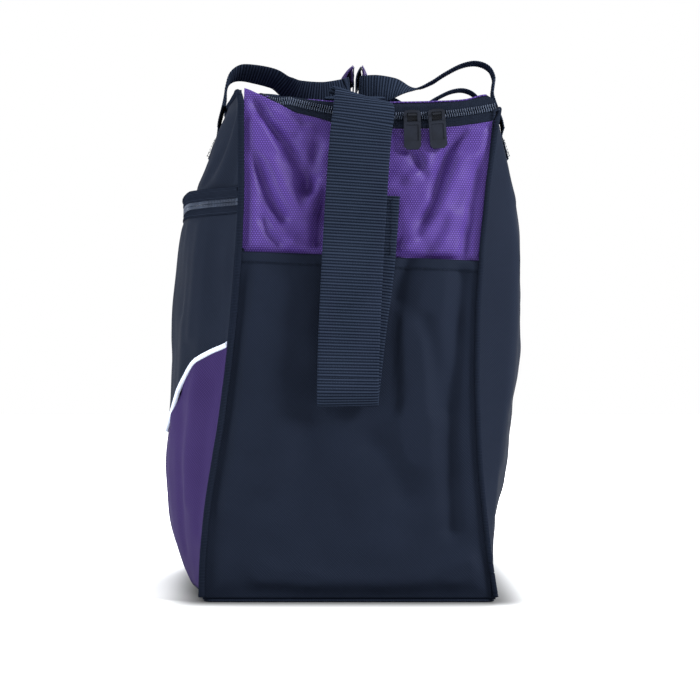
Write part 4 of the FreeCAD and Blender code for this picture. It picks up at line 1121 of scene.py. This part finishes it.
def make_grip():
    """Two half wraps, purple outside and black inside, whose free edges stand up above the webbing."""
    # (y out from the webbing's face, z), from the hook under the webbing to the free edge
    outer = [(-2.6, 427.5), (-2.4, 424.4), (0.0, 423.0), (2.5, 424.4), (3.1, 430), (3.3, 440), (3.4, 449),
             (2.6, 456), (0.6, 460.3)]
    lining = [(-1.5, 427), (-2.7, 431), (-3.3, 438), (-3.3, 446), (-2.4, 453), (-0.2, 459.2)]
    half = 55
    x = np.linspace(-half, half, 76)
    for name, y, face, lean in (("front", -0.5, FRONT, -4.2), ("back", 8.6, BACK, 1.8)):
        body = f"{name}_handle"
        for layer, section, slot, swollen, nodes in (
                ("outer", outer, "purple_polyester", 5.0, [f"{name}_grip_wrap"]),
                ("lining", lining, "black_polyester", 0, [])):
            line = smooth_line(section, 1.3)
            height = line[:, 1:2]
            grid_x = np.broadcast_to(x[None, :], (len(line), len(x)))
            top = np.clip((height - 446) / 14, 0, 1)
            wave = ripple(grid_x, grid_x * 0 + height, 34, 111 + face) * 0.8 * top
            edge = np.clip((np.abs(grid_x) - 47) / 8, 0, 1)
            swell = np.exp(-((height - 450) / 7) ** 2) * (1 - (np.abs(grid_x) / half) ** 3) * swollen
            depth = line[:, :1] + swell - wave * 0.6 + top**2 * lean
            grid = spread(grid_x, y + face * depth, height - 3.0 * top * edge + 0.5 * wave)
            panel(f"{name}_grip_{layer}", grid, spread(grid_x, along(line)[:, None]), body, slot, nodes,
                  thick=1.0)
        path = spread(x[3:-3], y + face * 3.9, 450.0)
        stitches(f"{name}_grip_stitches", path, (0, face, 0), body)


# ---------------------------------------------------------------- base and what the bag holds

def make_base():
    low, high = box_mm("base_panel")
    corner, thick = 8.0, 1.8
    y = np.concatenate([np.linspace(low[1], low[1] + corner, 7),
                        np.linspace(low[1] + corner, high[1] - corner, 60)[1:-1],
                        np.linspace(high[1] - corner, high[1], 7)])
    inset = np.clip(corner - np.minimum(y - low[1], high[1] - y), 0, corner)
    half = high[0] - (corner - np.sqrt(corner**2 - inset**2))
    grid = spread(half[:, None] * np.linspace(-1, 1, 90)[None, :], y[:, None], thick / 2 + 0.05)
    panel("base_cloth", grid, grid[..., :2], "bag", "black_polyester", ["base_panel"], thick=thick)


def make_cup():
    """Foam ring turned round the upright axis, with a seat for the ball and a welt round each rim."""
    low, high = box_mm("ball_cup")
    radius, top, bottom = high[0], high[2], low[2]
    seat_radius, floor = 109.5, 12.0
    lip = math.sqrt(seat_radius**2 - (floor + seat_radius - top) ** 2)
    bowl = [(seat_radius * math.sin(a), floor + seat_radius - seat_radius * math.cos(a))
            for a in np.linspace(0.02, math.asin(lip / seat_radius) - 0.03, 26)]
    rim = [(lip + 1.5, top - 1.6), ((lip + radius) / 2, top - 0.2), (radius - 1.8, top - 1.4),
           (radius - 0.4, top - 5)]
    wall = [(radius, (top + bottom) / 2), (radius - 0.6, bottom + 4), (radius - 2.5, bottom + 0.6)]
    line = smooth_line([*bowl, *rim, *wall, (radius - 40, bottom + 0.3)], 2.2)
    turns = 96
    angle = np.linspace(0, 2 * math.pi, turns, endpoint=False)[None, :]
    r, z = line[:, :1], line[:, 1:]
    dimple = 0.5 * np.cos(angle * 4) * np.exp(-((r - radius * 0.6) / 20) ** 2)
    rings = spread(r * np.cos(angle), r * np.sin(angle), z + dimple)
    uv = rings[..., :2] + (0, 1) * z[..., None]
    faces = grid_faces(len(line), turns, wrap=True)
    faces += [tuple(range(turns)), tuple((len(line) - 1) * turns + k for k in range(turns))[::-1]]
    cup = place(mesh_object("ball_cup_pad", rings.reshape(-1, 3), faces, uv.reshape(-1, 2)),
                "bag", "foam", ["ball_cup"])
    turn = np.linspace(0, 2 * math.pi, 121)
    for name, reach, height in (("upper", radius - 2.2, top - 1.0), ("lower", radius - 0.9, bottom + 3.2)):
        ring = spread(reach * np.cos(turn), reach * np.sin(turn), height)
        tube(f"ball_cup_welt_{name}", ring, 1.3, "bag", "piping_black")


def finish_cad_nodes():
    """Materials of the moulded and metal parts, whose CAD meshes are shown as they are."""
    sliders = [f"{side}_slider" for side in ("left", "right", "pocket")]
    tabs = [f"{side}_pull_tab" for side in ("left", "right", "pocket")]
    for slot, nodes in (("board", ["base_board"]), ("slider_metal", sliders), ("pull_rubber", tabs)):
        for node in nodes:
            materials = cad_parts[node].data.materials
            materials.clear()
            materials.append(MATERIALS[slot])


# ---------------------------------------------------------------- camera, light and floor

def aim(obj, target):
    """Turns a camera or a lamp to face the target."""
    obj.rotation_euler = (Vector(target) - obj.location).to_track_quat("-Z", "Y").to_euler()


def add_light(name, location, target, size, power, colour):
    data = bpy.data.lights.new(name, "AREA")
    data.shape = "RECTANGLE"
    data.size, data.size_y = size
    data.energy = power
    data.color = colour
    lamp = bpy.data.objects.new(name, data)
    lamp.location = location
    bpy.context.scene.collection.objects.link(lamp)
    aim(lamp, target)


def make_paper():
    """White paper with a painted contact shadow, darker where it meets the bag's base, and a painted glow
    that makes it brighter than its light far from it.
    """
    paper = bpy.data.materials.new("paper")
    paper.use_nodes = True
    nodes, links = paper.node_tree.nodes, paper.node_tree.links
    shader = nodes["Principled BSDF"]
    shader.inputs["Roughness"].default_value = 0.9
    # white emission for the painted glow away from the bag
    shader.inputs["Emission Color"].default_value = (1.0, 1.0, 1.0, 1.0)
    value = nodes.new("ShaderNodeTexCoord").outputs["Object"]
    for operation, operand in (("ABSOLUTE", None), ("SUBTRACT", (0.164, 0.118, 0.0)), ("MAXIMUM", (0, 0, 0)),
                               ("LENGTH", None)):
        step = nodes.new("ShaderNodeVectorMath")
        step.operation = operation
        links.new(value, step.inputs[0])
        if operand:
            step.inputs[1].default_value = operand
        value = step.outputs["Value" if operation == "LENGTH" else "Vector"]
    # painted contact shadow in the base colour near the bag's base, and painted glow in the emission further
    # from it
    for socket, reach, first, last in (("Base Color", 0.05, 0.06, 0.62),
                                       ("Emission Strength", 0.42, 0.0, 0.75)):
        painted_shadow_and_glow = nodes.new("ShaderNodeMapRange")
        painted_shadow_and_glow.interpolation_type = "SMOOTHSTEP"
        painted_shadow_and_glow.inputs["From Max"].default_value = reach
        painted_shadow_and_glow.inputs["To Min"].default_value = first
        painted_shadow_and_glow.inputs["To Max"].default_value = last
        links.new(value, painted_shadow_and_glow.inputs["Value"])
        links.new(painted_shadow_and_glow.outputs["Result"], shader.inputs[socket])
    return paper


# The camera looks level at the bag's right end, from this far (m) and this height (m)
CAMERA_REACH, CAMERA_HEIGHT, LENS = 1.62, 0.207, 90.9


def make_studio():
    scene = bpy.context.scene
    scene.view_settings.view_transform = "Standard"
    camera_data = bpy.data.cameras.new("camera")
    camera_data.lens = LENS
    camera_data.sensor_width = 36.0
    camera = bpy.data.objects.new("camera", camera_data)
    camera.location = (CAMERA_REACH, 0.0, CAMERA_HEIGHT)
    scene.collection.objects.link(camera)
    aim(camera, (0, 0, CAMERA_HEIGHT))
    scene.camera = camera

    world = bpy.data.worlds.new("studio")
    world.use_nodes = True
    sky = world.node_tree.nodes["Background"].inputs
    sky[0].default_value = (1.0, 1.0, 1.0, 1.0)
    sky[1].default_value = 1.0
    scene.world = world

    floor_mesh = bpy.data.meshes.new("floor")
    floor_mesh.from_pydata([(-4, -4, 0), (4, -4, 0), (4, 4, 0), (-4, 4, 0)], [], [(0, 1, 2, 3)])
    floor = bpy.data.objects.new("floor", floor_mesh)
    floor.location.z = -0.0002
    scene.collection.objects.link(floor)
    floor.data.materials.append(make_paper())

    for name, location, size, power, colour in (
            ("key", (1.0, 1.7, 1.2), (0.5, 0.5), 95, (0.97, 0.98, 1.0)),
            ("front", (0.7, -1.8, 0.6), (0.7, 1.0), 40, (0.90, 0.95, 1.0)),
            ("top", (-0.1, -0.2, 1.9), (1.0, 1.0), 34, (0.97, 0.98, 1.0)),
            ("rear", (-1.4, 0.3, 1.3), (0.8, 0.8), 60, (0.93, 0.96, 1.0))):
        add_light(name, location, (0, 0, 0.22), size, power, colour)


MATERIALS = make_materials()
make_end_panels()
make_front_wall()
make_back()
make_upper_front()
make_pocket()
make_piping()
make_main_zipper()
make_strap()
make_handles()
make_grip()
make_base()
make_cup()
finish_cad_nodes()
make_studio()
